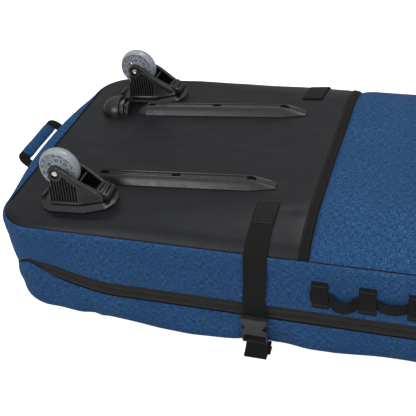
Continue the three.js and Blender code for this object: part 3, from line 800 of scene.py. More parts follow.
def build_binding():
    """Folded tape over the cross seam, on the black side, held by two rows of stitches."""
    width, thickness, row_inset, pitch, stitch_length = 15, 1.2, 2.6, 4.6, 3.1

    def height(x, y):
        t = (x - (SEAM_X - width)) / width
        crown = 1.5 * (1 - (2 * t - 1) ** 4)
        return deck_top(min(x, SEAM_X - 1), y) + 0.5 + crown + 0.25 * ripple(x, y, 0, 5, 8.8)

    xs = [mix(SEAM_X - width, SEAM_X + 0.8, k / 12) for k in range(13)]
    tape = sheet(across_rows(xs, DECK_INSET - 0.4, 160, height))
    place_cloth(tape, thickness, "binding", "tub", "webbing", ["seam_binding"])
    stitches = []
    for x in (SEAM_X - row_inset, SEAM_X - width + row_inset):
        for y in np.arange(-HALF_WIDTH + 6, HALF_WIDTH - 5, pitch):
            stitches.append(stitch(*[(x, end, height(x, end) + 0.15) for end in (y, y + stitch_length)]))
    sew("binding_stitches", stitches)


STITCH_R = 0.42  # radius of the thread


def stitch(a, b):
    """One stitch: a thread lying from a to b, with its ends dipping into the cloth."""
    a, b = Vector(a), Vector(b)
    along = (b - a).normalized()
    side = along.orthogonal().normalized()
    up = along.cross(side)
    rings = []
    for t, size in ((0, 0.35), (0.22, 0.95), (0.78, 0.95), (1, 0.35)):
        centre = a.lerp(b, t)
        rings.append([centre + STITCH_R * size * (c * side + s * up)
                      for c, s in (turn(60 * k) for k in range(6))])
    return tube(rings)


def stitched_line(points, lift, pitch=4.6, share=0.68):
    """Stitches along a path, raised by the vector lift."""
    path = spline(points, pitch)
    return [stitch(a + lift, a.lerp(b, share) + lift) for a, b in zip(path[:-1], path[1:])]


# ---- side walls

OUTLINE = outline(8.5)


def wall_folds(x, y, z, nx):
    """Soft unevenness of the padded walls, pushed outward."""
    push = 1.9 * ripple(x, y, z * 1.2, 165, 2.2) + 0.9 * ripple(x, y, z * 2.2, 62, 9.1)
    corner = smooth((abs(x) - 700) / 80) * (1 - abs(nx))
    return push + 1.2 * corner * ripple(x * 0.4, y, z * 4, 60, 6.3)


HELD_SHARE = 0.1  # share of the wall's swelling that is left where something presses on it


def held_down(x, y):
    """1 where a strap or a handle's sewn end presses the tub's wall flat, falling to 0 beside it."""
    reach, end_reach, end_depth = 34, 130, 20
    straps = [STRAP_X]
    if y < 0:
        straps += [CARRY_HINGE.x - CARRY_SPAN / 2, CARRY_HINGE.x + CARRY_SPAN / 2]
    end = hill(y, 0, end_reach) * smooth((abs(x) - HALF_LENGTH + end_depth) / end_depth)
    return max(end, *[hill(x, middle, reach) for middle in straps])


# The rolled top of the tub's wall from the seam down: height, push outward, share of the end's puff.
ROLLED_TOP = [(179.6, -2.4, -0.25), (182.2, -1.3, 0.2), (183.4, 0.2, 0.6), (183.2, 1.8, 0.88),
              (182.0, 3.4, 1), (179.9, 4.7, 1), (176.8, 5.5, 1), (172.0, 5.6, 1), (166.0, 5.2, 1)]


def tub_wall_row(station):
    """The tub's wall at a station, from the deck's seam down to the zip."""
    x, y, nx, ny = station
    low = ZIP_Z + TAPE_W + 0.4 if is_hinge_side(station) else zip_height(x) + band_half(x)
    pinch = 2.6 * math.exp(-abs(x - SEAM_X) / 9) * (abs(ny) > 0.9)
    puff = end_puff(station)
    pressed = held_down(x, y)
    row = []
    for z, push, share in ROLLED_TOP:
        if push > 0:
            held = pressed * (smooth((183 - z) / 5) if abs(ny) > 0.5 else 1)
            push += 0.5 * ripple(x, y, 0, 21, 3.3) * smooth((185.5 - z) / 6)
            push *= mix(1, HELD_SHARE, held)
        lifted = z + 0.12 * puff * abs(share) * (z > 180)
        row.append((lifted, push + puff * share - pinch * hill(z, 180, 16)))
    start, start_push, _ = ROLLED_TOP[-1]
    start_push *= mix(1, HELD_SHARE, pressed)
    below = 16
    for k in range(1, below + 1):
        t = k / below
        z = mix(start, low + 2.5, t)
        bulge = 2.6 * math.sin(math.pi * t) + wall_folds(x, y, z, nx) * smooth(4 * t) * smooth(4 * (1 - t))
        bulge *= 1 - 0.9 * pressed * smooth((z - 105) / 30)
        bulge += puff * smooth(3.5 * (1 - t))
        row.append((z, mix(start_push, 0.9, smooth(3 * t)) + bulge))
    row += [(low + 1.0, 0.7), (low, -0.4), (low + 0.7, -1.8)]
    return [(x + nx * push, y + ny * push, z) for z, push in row]


LID_END_LEAN, LID_END_R = -1.0, 15.0  # the lid's lower edge at both ends of the bag


def lid_bulge(x, side):
    """How far the lid's lower edge leans out, and the radius it turns under with."""
    corner = smooth((abs(x) - 690) / 90)
    middle = hill(x, -505, 190) + 0.55 * hill(x, -290, 110) + 0.6 * smooth((x + 180) / 160)
    middle *= 1 - 0.75 * hill(x, BUCKLE_X, 44) * (side < 0)
    lean = mix(10 * clamp(middle), LID_END_LEAN, corner) + 7 * hill(x, -712, 60) * (side < 0)
    return lean, mix(24 - 9 * clamp(middle), LID_END_R, corner)


def lid_folds(x, y, z, side):
    """Soft folds of the lid's wall, pushed outward, with a crease and a fan by the buckle in front."""
    push = 2.4 * ripple(x, y, z * 1.3, 120, 4.4) + 1.4 * ripple(x * 1.4, y, z * 2, 48, 1.9)
    if side < 0:
        crease = hill(x + 0.8 * (z - 20), -676, 26) * hill(z, 22, 26)
        push += 8.0 * crease * math.sin((x + 676) / 10)
        fan = smooth((x - BUCKLE_X - 20) / 15) * smooth((BUCKLE_X + 130 - x) / 60)
        push += 3.0 * fan * hill(z, 30, 34) * math.sin((x - BUCKLE_X) / 13 + z / 16)
    return push


def lid_wall_row(station):
    """The lid's wall at a station, from the zip down, turned under the bag at its foot."""
    x, y, nx, ny = station
    high = ZIP_Z - TAPE_W - 0.4 if is_hinge_side(station) else zip_height(x) - band_half(x)
    side = -1 if y < 0 else 1
    lean, radius = lid_bulge(x, side) if abs(ny) > 0.5 else (LID_END_LEAN, LID_END_R)
    if 0.01 < abs(ny) < 0.999:  # round a corner
        lean, radius = lid_bulge(math.copysign(HALF_LENGTH, x), side)
    corner_lift = 12 * smooth((abs(x) - 650) / 100)  # the padded ends stand a little off the floor
    row = [(high - 0.7, -1.8), (high, -0.4), (high - 1.2, 0.7), (high - 4, 1.2)]
    steps = 12
    for k in range(1, steps + 1):
        t = k / steps
        z = mix(high - 4, radius + corner_lift, t)
        push = mix(1.2, lean, smooth(t)) + 1.6 * math.sin(math.pi * t)
        push += lid_folds(x, y, z, side) * smooth(3 * t)
        row.append((z, push))
    end_fold = row[-1][1] - lean
    turns = 10
    for k in range(1, turns + 1):
        c, s = turn(90 * k / turns)
        fade = 1 - k / turns
        lift = corner_lift * (1 - (k / turns) ** 2)
        row.append((radius - radius * s + 0.2 + lift, lean - radius * (1 - c) + end_fold * fade))
    row.append((0.2, min(row[-1][1] - 4, -LID_INSET - 1)))
    return [(x + nx * push, y + ny * push, z) for z, push in row]


def build_walls():
    for body, row_at, thickness in (("tub", tub_wall_row, WALL_T), ("lid", lid_wall_row, LID_WALL_T)):
        wall = sheet([row_at(station) for station in OUTLINE], around=True, flip=True)
        place_cloth(wall, thickness, f"wall_{body}", body, "blue_fabric", [f"{body}_wall"], lined=True)


def build_seam_shadow_cord():
    """The dark cord in the groove between the deck and the side wall, all the way round; it is painted shade,
    a dark line standing in for the groove's shadow.
    """
    radius, inset, drop = 0.95, 1.3, 0.9
    rings = []
    for x, y, nx, ny in OUTLINE:
        centre = inset + 0.25 * ripple(x, y, 0, 14, 2.6)
        rim = (turn(45 * k, radius) for k in range(8))
        ring = [(centre + c, EDGE_Z - drop + s) for c, s in rim]
        rings.append([(x - nx * depth, y - ny * depth, z) for depth, z in ring])
    # painted shade: a black cord drawn where the seam's groove only holds shadow
    cord = sheet(rings, around=True, across=True)
    place(cord, "seam_shadow_cord", "tub", "webbing", smooth_below=SMOOTH_ALL)


# ---- lid floor, liners, board straps


def lid_xs(inset):
    end = HALF_LENGTH - inset
    radius = CORNER_R - inset
    turns = [end - radius * (1 - math.cos(k / 8 * math.pi / 2)) for k in range(8)]
    return sorted([-x for x in turns] + turns + lengthwise(-end + radius, end - radius, 22))


def build_lid_floor():
    floor_inset = LID_INSET + 0.6
    rows = across_rows(lid_xs(floor_inset), floor_inset, 41, lambda x, y: 0.3)
    place(thicken(sheet(rows, flip=True), 5.4), "lid_floor", "lid", "blue_fabric", ["lid_panel"])

    def quilt(x, y):
        inner = min(HALF_LENGTH - 30 - abs(x), half_width(x, 30) - abs(y))
        padding = 1.4 * smooth(inner / 26) * (1 + 0.5 * ripple(x, y, 0, 120, 6.1))
        return 8.2 + padding + 0.5 * ripple(x, y, 0, 45, 2.9) * smooth(inner / 30)

    liner = sheet(across_rows(lid_xs(LID_LINER_INSET), LID_LINER_INSET, 61, quilt))
    place_cloth(liner, LINER_T, "lid_lining", "lid", "lining", ["lid_liner"])


def liner_height(x, y):
    sag = 1.6 * ripple(x, y, 0, 140, 8.3) + 0.8 * ripple(x, y, 0, 50, 1.1)
    side = half_width(x) - abs(y) - WALL_T
    return deck_height(x, y) - LINER_DROP + sag * smooth((side - 8) / 40)


def build_tub_lining():
    inset = WALL_T + 1.5
    end = HALF_LENGTH - inset
    tail_half = [x for x in lengthwise(SEAM_X, end, 14, corner_at=end) if x >= 0]
    xs = sorted([-x for x in tail_half if x > 0] + tail_half)
    liner = sheet(across_rows(xs, inset, 61, liner_height))
    place_cloth(liner, LINER_T, "tub_lining", "tub", "lining", ["tub_liner"])


def build_board_straps():
    """Two straps across the inside of the tub, with a box of stitches at each end."""
    drop = LINER_DROP + 4.6
    sags = (0, 1.8, 2.6, 1.8, 0)
    box_w, box_length = 30, 9
    for name in BOARD_STRAPS:
        x = centre_mm(name).x
        half = box_mm(name)[1].y - 2
        path = []
        for k, sag in enumerate(sags):
            y = mix(-half, half, k / (len(sags) - 1))
            path.append((x, y, deck_height(x, y) - drop - sag))
        place_web(webbing(spline(path, 7), lambda i, p: -Z_AXIS, STRAP_W), f"{name}_web", "tub", [name])
        ends = []
        for y in (-half + 5, half - 11):
            z = deck_height(x, y) - drop - WEB_T - 0.4
            ends += box_stitches(Vector((x, y + 3, z)), X_AXIS, Y_AXIS, box_w, box_length)
        sew(f"{name}_stitches", ends)


def build_gusset():
    """The strip that joins lid and tub along the far side, with a soft pleat along it."""
    low, high = box_mm("hinge_gusset")
    past_end, past_edge = 14, 2  # tucked this far under the zip's ends and the walls' edges
    long_steps, high_steps = 120, 12
    rows = []
    for k in range(long_steps + 1):
        x = mix(low.x - past_end, high.x + past_end, k / long_steps)
        row = []
        for j in range(high_steps + 1):
            z = mix(low.z - past_edge, high.z + past_edge, j / high_steps)
            pleat = 0.9 * math.cos(math.pi * (z - ZIP_Z) / TAPE_W) + 0.5 * ripple(x, 0, z, 26, 5.9)
            row.append((x, high.y - 0.6 + pleat, z))
        rows.append(row)
    gusset = sheet(rows)
    place_cloth(gusset, 1.2, "hinge_strip", None, "blue_fabric", ["hinge_gusset"])
    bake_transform(gusset)


# ---- zip

# Section of a zip tape, as (distance from the zip's middle, depth inside the wall's face): the cord
# stitched along it, the flat tape, and the coil rolled over at the zip's middle.
TAPE_SECTION = [(15.6, 2.6), (12.6, 2.3), (11.8, 1.2), (10.6, 0.7), (9.4, 1.2), (8.6, 2.2), (6.0, 2.3),
                (3.4, 2.1), (2.6, 1.0), (1.6, 0.6), (0.8, 1.1), (0.45, 2.4), (0.45, 4.4), (1.4, 5.4),
                (2.6, 5.2), (3.2, 4.2), (9.0, 4.0), (15.6, 3.8)]


def build_zip():
    """Two tapes round the bag, from one end of the hinge strip to the other."""
    run = [s for s in OUTLINE if not is_hinge_side(s)]
    first = next(i for i, s in enumerate(run) if s[0] < 0)
    run = run[first:] + run[:first]
    for sign, half, body in ((1, "upper", "tub"), (-1, "lower", "lid")):
        rings = []
        for x, y, nx, ny in run:
            middle = zip_height(x)
            wobble = 0.5 * ripple(x, y, 0, 70, 3.7)
            ring = [(depth + wobble * (h < 12), middle + sign * h) for h, depth in TAPE_SECTION]
            rings.append([(x - nx * depth, y - ny * depth, z) for depth, z in ring])
        tape = tube(rings, flip=sign > 0)
        place(tape, f"zip_{half}", body, "zip_tape", [f"zip_tape_{half}"], smooth_below=60)


# ---- webbing and stitches


def webbing(path, face, width):
    """Flat webbing along a path of close points. face(i, point) points out of its face at each;
    the path runs along its inner side."""
    across = (-1, -0.985, -0.6, -0.2, 0.2, 0.6, 0.985, 1)
    edge = 0.28  # the selvedge is thinner: it starts and ends this share inside each face
    rings = []
    for i, point in enumerate(path):
        along = (path[min(i + 1, len(path) - 1)] - path[max(i - 1, 0)]).normalized()
        side = along.cross(face(i, point)).normalized()
        out = side.cross(along).normalized() * WEB_T
        top = [point + side * (v * width / 2) + out * (1 - edge * (abs(v) > 0.99)) for v in across]
        bottom = [point + side * (v * width / 2) + out * edge * (abs(v) > 0.99) for v in reversed(across)]
        rings.append(top + bottom)
    return tube(rings)


def box_stitches(centre, across, along, width, length):
    """A stitched box with a cross in it, centred on a point, lying in the plane of two axes."""
    corners = [centre + across * (a * width / 2) + along * (b * length / 2)
               for a, b in ((-1, -1), (1, -1), (1, 1), (-1, 1))]
    lines = [(corners[i], corners[(i + 1) % 4]) for i in range(4)]
    lines += [(corners[0], corners[2]), (corners[1], corners[3])]
    none = Vector((0, 0, 0))
    return [s for a, b in lines for s in stitched_line([a, b], none, pitch=3.4)]


def bar_tack(centre, across, along, width, length=3.0, pitch=1.1):
    """A zigzag bar."""
    count = max(3, round(width / pitch))
    points = [centre + across * mix(-width / 2, width / 2, k / count)
              + along * (length / 2 if k % 2 else -length / 2) for k in range(count + 1)]
    return [stitch(a, b) for a, b in zip(points[:-1], points[1:])]


# ---- compression straps

STRAP_SEWN_Y = 163
STRAP_EASE = 0.8  # webbing lies this far over the cloth


def strap_path(side, low):
    """From the sewn end over the deck's edge and down the wall to the points in low."""
    over = [(STRAP_X, side * y, deck_top(STRAP_X, y) + STRAP_EASE)
            for y in (STRAP_SEWN_Y, 180, 200, 220, 236, 246)]
    turn_down = [(STRAP_X, side * (HALF_WIDTH + 1.2), EDGE_Z + 0.6),
                 (STRAP_X, side * (HALF_WIDTH + 4.4), EDGE_Z - 7)]
    return spline(over + turn_down + low, 5)


def strap_face(side):
    """Faces up on the deck and sideways on the wall."""
    def face(i, point):
        tilt = smooth((abs(point.y) - 236) / 20)
        level = Vector((-math.tan(DECK_SLOPE), 0, 1)) * (1 - tilt)
        return level + Vector((0, side, 0.001)) * tilt
    return face


def build_straps():
    """The two straps sewn to the deck; the near one runs down into the female buckle."""
    high = box_mm("buckle_female")[1]
    web_y = high.y + 2.4
    near_low = [(mix(STRAP_X, BUCKLE_X, 0.45), -HALF_WIDTH - 4.2, 128), (BUCKLE_X, -HALF_WIDTH - 2.6, 92),
                (BUCKLE_X, web_y + 1, high.z + 5), (BUCKLE_X, web_y, high.z - 5),
                (BUCKLE_X, web_y, high.z - 14)]
    far_low = [(STRAP_X, HALF_WIDTH + 4.4, 140), (STRAP_X, HALF_WIDTH + 2.4, ZIP_Z + TAPE_W + 4)]
    for side, name, node, points in ((-1, "strap_upper", "strap_near", near_low),
                                     (1, "strap_across", "strap_far", far_low)):
        place_web(webbing(strap_path(side, points), strap_face(side), STRAP_W), name, "tub", [node])
    sew("strap_stitches", strap_stitches())


def strap_stitches():
    """Rows of zigzag on each strap's sewn end, and two bars at the far strap's lower end."""
    rows, pitch, slope_over = 8, 5.6, 6
    across = Vector((1, 0, math.tan(DECK_SLOPE))).normalized()
    sewn = []
    for side in (-1, 1):
        for row in range(rows):
            y = side * (STRAP_SEWN_Y + 4 + pitch * row)
            z = deck_top(STRAP_X, y) + STRAP_EASE + WEB_T + 0.15
            tilt = (deck_top(STRAP_X, y + slope_over) - deck_top(STRAP_X, y - slope_over)) / (2 * slope_over)
            along = Vector((0, 1, tilt)).normalized()
            sewn += bar_tack(Vector((STRAP_X, y, z)), across, along, STRAP_W - 5, 3.6, pitch=2.4)
    for dz in (0, 5):
        spot = Vector((STRAP_X, HALF_WIDTH + 4.4, ZIP_Z + TAPE_W + 9 + dz))
        sewn += bar_tack(spot, X_AXIS, Z_AXIS, STRAP_W - 6)
    return sewn


def build_lower_strap():
    """From the buckle's lower slot round onto the floor and back under the bag, and its loose tail."""
    low, high = box_mm("buckle_male")
    x = BUCKLE_X + 3.5  # the webbing leaves the slot a little askew
    slot_y, foot_z, floor_z = high.y + 1.4, low.z, 0.5
    loop = [(BUCKLE_X, slot_y + 0.4, foot_z + 16), (BUCKLE_X + 1, slot_y - 0.4, foot_z + 9.6),
            (BUCKLE_X + 2, slot_y - 1.2, foot_z + 5.2), (x, slot_y - 5, foot_z - 1),
            (x, slot_y - 12, foot_z - 7), (x, slot_y - 19.5, foot_z - 11.5),
            (x, slot_y - 24.5, floor_z + 2.4), (x, slot_y - 24, floor_z),
            (x, slot_y - 10, floor_z - 0.3), (x, slot_y + 12, floor_z - 0.3)]
    place_web(flat_loop(loop, STRAP_W), "strap_bottom", "lid", ["strap_lower"])
    x += STRAP_W / 2 - 4
    tail = [(x, slot_y + 3, 12.0), (x + 1, slot_y - 5, 10.0), (x + 2, slot_y - 12, 6.0),
            (x + 1.5, slot_y - 14, 2.5), (x, slot_y + 4, 0.6)]
    place_web(flat_loop(tail, STRAP_W * 0.36), "strap_tail", "lid")


def flat_loop(points, width):
    """Webbing in a plane of constant X, thickened towards the inside of its bend."""
    path = spline(points, 2.5)

    def face(i, point):
        along = path[min(i + 1, len(path) - 1)] - path[max(i - 1, 0)]
        return Vector((0, along.z, -along.y))
    return webbing(path, face, width)


# ---- buckle


def mirror_outline(half):
    """A closed outline from the (x, z) points of its right half, top to bottom."""
    return half + [(-x, z) for x, z in reversed(half) if x > 0]


def disc(x, z, radius, y0, y1, count=24):
    rim = (turn(360 * k / count, radius) for k in range(count))
    return prism([(x + c, z + s) for c, s in rim], y0, y1)


def crowned(obj, front, amount, half):
    """Bows the face at y = front outward, most in the middle."""
    def bow(x, y, z):
        share = clamp((front + 5 - y) / 5)
        return x, y - amount * share * max(0.0, 1 - (x / half) ** 2), z
    return reshape(obj, bow)


def place_buckle_part(obj, name, body, node):
    at_buckle = Matrix.Translation((BUCKLE_X, 0, 0))
    place(obj, name, body, "black_plastic", [node], matrix=at_buckle, materials=[BUCKLE_PLASTIC])


def build_buckle():
    """Side-release buckle: a waisted shell on the tub's strap, a plug on the lid's, and two prongs."""
    low, high = box_mm("buckle_female")
    front, back = low.y + 1.2, high.y
    mouth, top = low.z + 5, high.z
    waisted = mirror_outline([(0, top), (20.4, top), (21.4, top - 1.4), (21.2, top - 4.6), (17.6, top - 11.5),
                              (16.9, top - 15), (17.4, top - 19), (20.4, top - 24.5), (21, top - 29),
                              (20.4, mouth + 1.6), (12, mouth + 0.2), (0, mouth - 0.1)])
    shell = prism(waisted, front, back, bevel=1.5, segments=3)
    cavity = block(-17.2, 17.2, front + 2.2, back - 1.8, mouth - 3, top - 9.5)
    windows = [disc(side * 19.6, top - 17.5, 5.4, front - 3, back + 3) for side in (-1, 1)]
    web_slot = block(-19.2, 19.2, front + 3.4, back + 2, top - 8.2, top - 3.6, 0.5)
    shell = crowned(cut(shell, cavity, *windows, web_slot), front, 1.0, 21)
    place_buckle_part(shell, "buckle_body", "tub", "buckle_female")

    prong = [(9.2, 0.4), (12.8, 0.4), (14.2, 7.5), (15.6, 10.4), (16.9, 11.9), (16.8, 15), (15.4, 17.8),
             (13.4, 19.6), (11.4, 19.1), (10.7, 9.5)]
    for sign, side in ((-1, "left"), (1, "right")):
        arm = prism([(sign * x, mouth + z) for x, z in prong], front + 2.9, back - 2.5, bevel=0.9)
        place_buckle_part(arm, f"prong_{side}", f"prong_{side}", f"buckle_prong_{side}")

    low, high = box_mm("buckle_male")
    foot, front, back = low.z, low.y, high.y
    plate = mirror_outline([(0, mouth - 0.6), (19.4, mouth - 0.6), (20.2, mouth - 4), (20.5, foot + 2.4),
                            (19.2, foot + 0.4), (0, foot)])
    plug = prism(plate, front, back, bevel=1.2, segments=3)
    slot = block(-18.2, 18.2, front - 3, back + 3, foot + 2.6, mouth - 3, 0.6)
    tongue = block(-3, 3, front + 2.2, back - 2.2, mouth - 3, mouth + 17, 0.7)
    place_buckle_part(union(cut(plug, slot), tongue), "buckle_plug", "lid", "buckle_male")


# ---- lashing chain

TAB_W = 25
RIBBON_W = 20
RIBBON_Z = 123
LASH_Y = -HALF_WIDTH - 3.4  # where the ribbon lies on the wall


def build_daisy_chain():
    """Vertical tabs sewn over a ribbon that stands off the wall in loops between them."""
    tabs = [box_mm(f"daisy_tab_{i}") for i in (1, 2, 3)]
    slack = ((11, 8), (7.5, 1))  # how far each loop stands out, and how far it sags
    points = [(tabs[0][0].x - 2, LASH_Y, RIBBON_Z)]
    for i, (low, high) in enumerate(tabs):
        middle = (low.x + high.x) / 2
        points += [(middle + side * TAB_W / 2, LASH_Y, RIBBON_Z) for side in (-1, 1)]
        if i < len(slack):
            out, sag = slack[i]
            gap = tabs[i + 1][0].x - high.x
            points += [(high.x + gap * t, LASH_Y - out * share, RIBBON_Z - sag * math.sin(math.pi * t))
                       for t, share in ((0.16, 0.5), (0.4, 1.0), (0.68, 0.85), (0.9, 0.3))]
    points.append((tabs[-1][1].x + 2, LASH_Y, RIBBON_Z))
    ribbon = webbing(spline(points, 2.5), lambda i, p: Vector((0, -1, -0.12)), RIBBON_W)
    place_web(ribbon, "lash_ribbon", "tub", ["daisy_ribbon"])

    over = LASH_Y - WEB_T - 0.5  # the tabs lie over the ribbon
    tacks = []
    for i, (low, high) in enumerate(tabs, 1):
        middle = (low.x + high.x) / 2
        rise = [(high.z, LASH_Y + 1.6), (high.z - 3, LASH_Y + 0.4), (high.z - 9, LASH_Y - 0.4),
                (RIBBON_Z + 12, over), (RIBBON_Z, over - 0.4), (RIBBON_Z - 11, over),
                (low.z + 8, LASH_Y - 0.4), (low.z + 3, LASH_Y + 0.4), (low.z, LASH_Y + 1.6)]
        path = spline([(middle, y, z) for z, y in rise], 2.5)
        place_web(webbing(path, lambda i, p: -Y_AXIS, TAB_W), f"lash_tab_{i}", "tub", [f"daisy_tab_{i}"])
        for z in (high.z - 7.5, low.z + 7.5):
            tacks += bar_tack(Vector((middle, over, z)), X_AXIS, Z_AXIS, TAB_W - 4, 3.4)
    sew("lash_stitches", tacks)


# ---- skid rails and kerb bumpers

RAIL_TOP = 14


def rail_section(height, foot):
    """Right half of a rail's section, from the foot up over the grooved top, as (y, z)."""
    top = 8.2
    grooves = [(1.2, 0), (1.7, -1), (3.6, -1), (4.1, 0), (5.4, 0), (5.9, -0.8), (6.6, -0.8), (7.2, 0)]
    side = [(foot, 0.35), (foot, 1.3), (mix(foot, top, 0.5), 1.3 + (height - 1.3) * 0.5), (top, height - 0.5)]
    return side + [(y, height + dz * (height > 4)) for y, dz in reversed(grooves)]


def rail_ring(x, height):
    right = rail_section(height, mix(8.6, 18, height / RAIL_TOP))
    return [Vector((x, y, z)) for y, z in right] + [Vector((x, -y, z)) for y, z in reversed(right)]


def capsule(x, half, radius, z0, z1):
    """An upright slot with round ends, along X."""
    quarters = ((k, turn(15 * k, radius)) for k in range(-12, 12))
    ends = [(x + half * (1 if abs(k) < 7 else -1) + c, s) for k, (c, s) in quarters]
    return reshape(prism(ends, z0, z1), lambda a, b, c: (a, -c, b))


def rail_shape():
    """A grooved rail with sloping ends, and a recess and a bore for each screw."""
    start = RAIL_SCREWS[0] - 32
    end = RAIL_SCREWS[2] + 39
    profile = [(start, 1.6), (start + 22, 13.4), (start + 24.5, RAIL_TOP), (end - 40, RAIL_TOP),
               (end - 37.5, 13.4), (end - 1.5, 2.2), (end, 1.6)]
    body = tube([rail_ring(x, height) for x, height in profile])
    recesses = [capsule(x, 3.6, 4.4, RAIL_TOP - 6.0, RAIL_TOP + 5) for x in RAIL_SCREWS]
    bores = [capsule(x, 0.01, 2.8, -5, RAIL_TOP) for x in RAIL_SCREWS]
    return cut(body, *recesses, *bores)


def screw_shape():
    """Pan head with a cross recess, on a plain shank."""
    under = RAIL_TOP - 6.2
    profile = [(0, -7.2), (2.2, -7.2), (2.4, under), (4.1, under), (4.15, under + 1.2), (3.4, under + 2.6),
               (1.6, under + 3.2), (0, under + 3.3)]
    head = reshape(lathe(profile, 20), lambda x, y, z: (x, -z, y))
    slots = [block(-x, x, -y, y, under + 1.6, under + 6) for x, y in ((2.2, 0.45), (0.45, 2.2))]
    return cut(head, *slots)


def ellipsoid(rx, ry, rz):
    """Upper half of an ellipsoid, closed underneath."""
    rings, around, base = 14, 40, 0.35
    rows = []
    for k in range(rings):
        c, s = turn(90 * k / rings)
        rim = (turn(360 * j / around) for j in range(around))
        rows.append([Vector((rx * c * a, ry * c * b, base + rz * s)) for a, b in rim])
    return tube(rows)


def bumper_shape():
    """Half dome with two arched slots cut across its rail side."""
    rx, ry, height, beyond = 34, 28, 28, 60
    tools = []
    for x0, x1, core in ((7.5, 12.5, 0.84), (16.5, 21.5, 0.8)):
        slab = block(x0, x1, -beyond, beyond, 3.0, beyond)
        tools.append(cut(slab, ellipsoid(rx * core, ry * core, height * core)))
    tools.append(block(24.5, beyond, -beyond, beyond, -5, beyond))
    return cut(ellipsoid(rx, ry, height), *tools)


def build_rails():
    rail, screw, bumper = rail_shape(), screw_shape(), bumper_shape()
    bumper_x = -28
    for side, sign in SIDES.items():
        here = DECK @ Matrix.Translation((0, sign * RAIL_Y, 0))
        place(copy_of(rail), f"rail_{side}", "tub", "black_plastic", [f"skid_rail_{side}"], matrix=here)
        place(copy_of(bumper), f"bumper_{side}", "tub", "black_plastic", [f"kerb_bumper_{side}"],
              matrix=here @ Matrix.Translation((bumper_x, 0, 0)), smooth_below=40)
        for i, x in enumerate(RAIL_SCREWS, 1):
            twist = Matrix.Rotation(0.7 * i + sign, 4, "Z")
            place(copy_of(screw), f"screw_{side}_{i}", "tub", "slider_metal", [f"rail_screw_{side}_{i}"],
                  matrix=here @ Matrix.Translation((x, 0, 0)) @ twist)
    discard(rail, screw, bumper)


# ---- wheel brackets

BASE_H = 9
CHEEK_IN, CHEEK_OUT = 13.6, 16.6  # the cheek's faces, from the middle of the wheel
RELIEF = 4.6  # ribs, band and boss stand this far out of the cheek
BOSS_R = 13
FLARE = math.tan(math.radians(12))
FOOT = BASE_H + 2.0  # the fork's skirt ends here, over a shadow gap
CONVERGE_X = 36  # the cheeks run parallel up to here, then close in on the front block
CONVERGE = 0.34


def base_shape():
    """Bevelled base plate, wider on the outer side (+Y), with a turned-up lip at the back."""
    outer = [(-46, 12), (-31, 33), (-17, 40.5), (46, 40.5), (78, 27), (88, 9)]
    inner_half = 32
    plan = outer + [(x, -min(y, inner_half)) for x, y in reversed(outer)]
    centre_x, half_x, half_y = 20, 67, 40

    def ring(inset, z):
        return [Vector((centre_x + (x - centre_x) * (1 - inset / half_x), y * (1 - inset / half_y), z))
                for x, y in plan]

    steps = [(0.8, 0.35), (0, 1.2), (0, 2.6), (0.8, 3.2), (9.2, 8.8), (10.2, BASE_H)]
    body = tube([ring(inset, z) for inset, z in steps])
    lip = [(-43, 3), (-36, 3), (-36, 8), (-38.5, 12.4), (-41.5, 13.6), (-44, 12), (-44.5, 8)]
    return union(body, prism(lip, -12, 12, 1.2))


def flared(obj):
    """Leans the cheek outwards below the axle, with its skirt curling out at the foot, and closes
    it in towards the front block."""
    skirt, curl_out = 27, 3.2
    planes = [((0, 0, z), Z_AXIS) for z in (12, 15, 19, 24, 30, 38, 48, HUB_Z)]
    planes += [((x, 0, 0), X_AXIS) for x in (CONVERGE_X, CONVERGE_X + 18)]
    shape = bmesh.new()
    shape.from_mesh(obj.data)
    for point, normal in planes:
        bmesh.ops.bisect_plane(shape, geom=[*shape.verts, *shape.edges, *shape.faces],
                               plane_co=point, plane_no=normal)
    shape.to_mesh(obj.data)
    shape.free()

    def lean(x, y, z):
        below = max(0.0, HUB_Z - z)
        curl = max(0.0, skirt - z) / skirt
        inward = CONVERGE * max(0.0, x - CONVERGE_X)
        return x, y + below * FLARE + curl_out * curl * curl - inward, z

    return reshape(obj, lean)


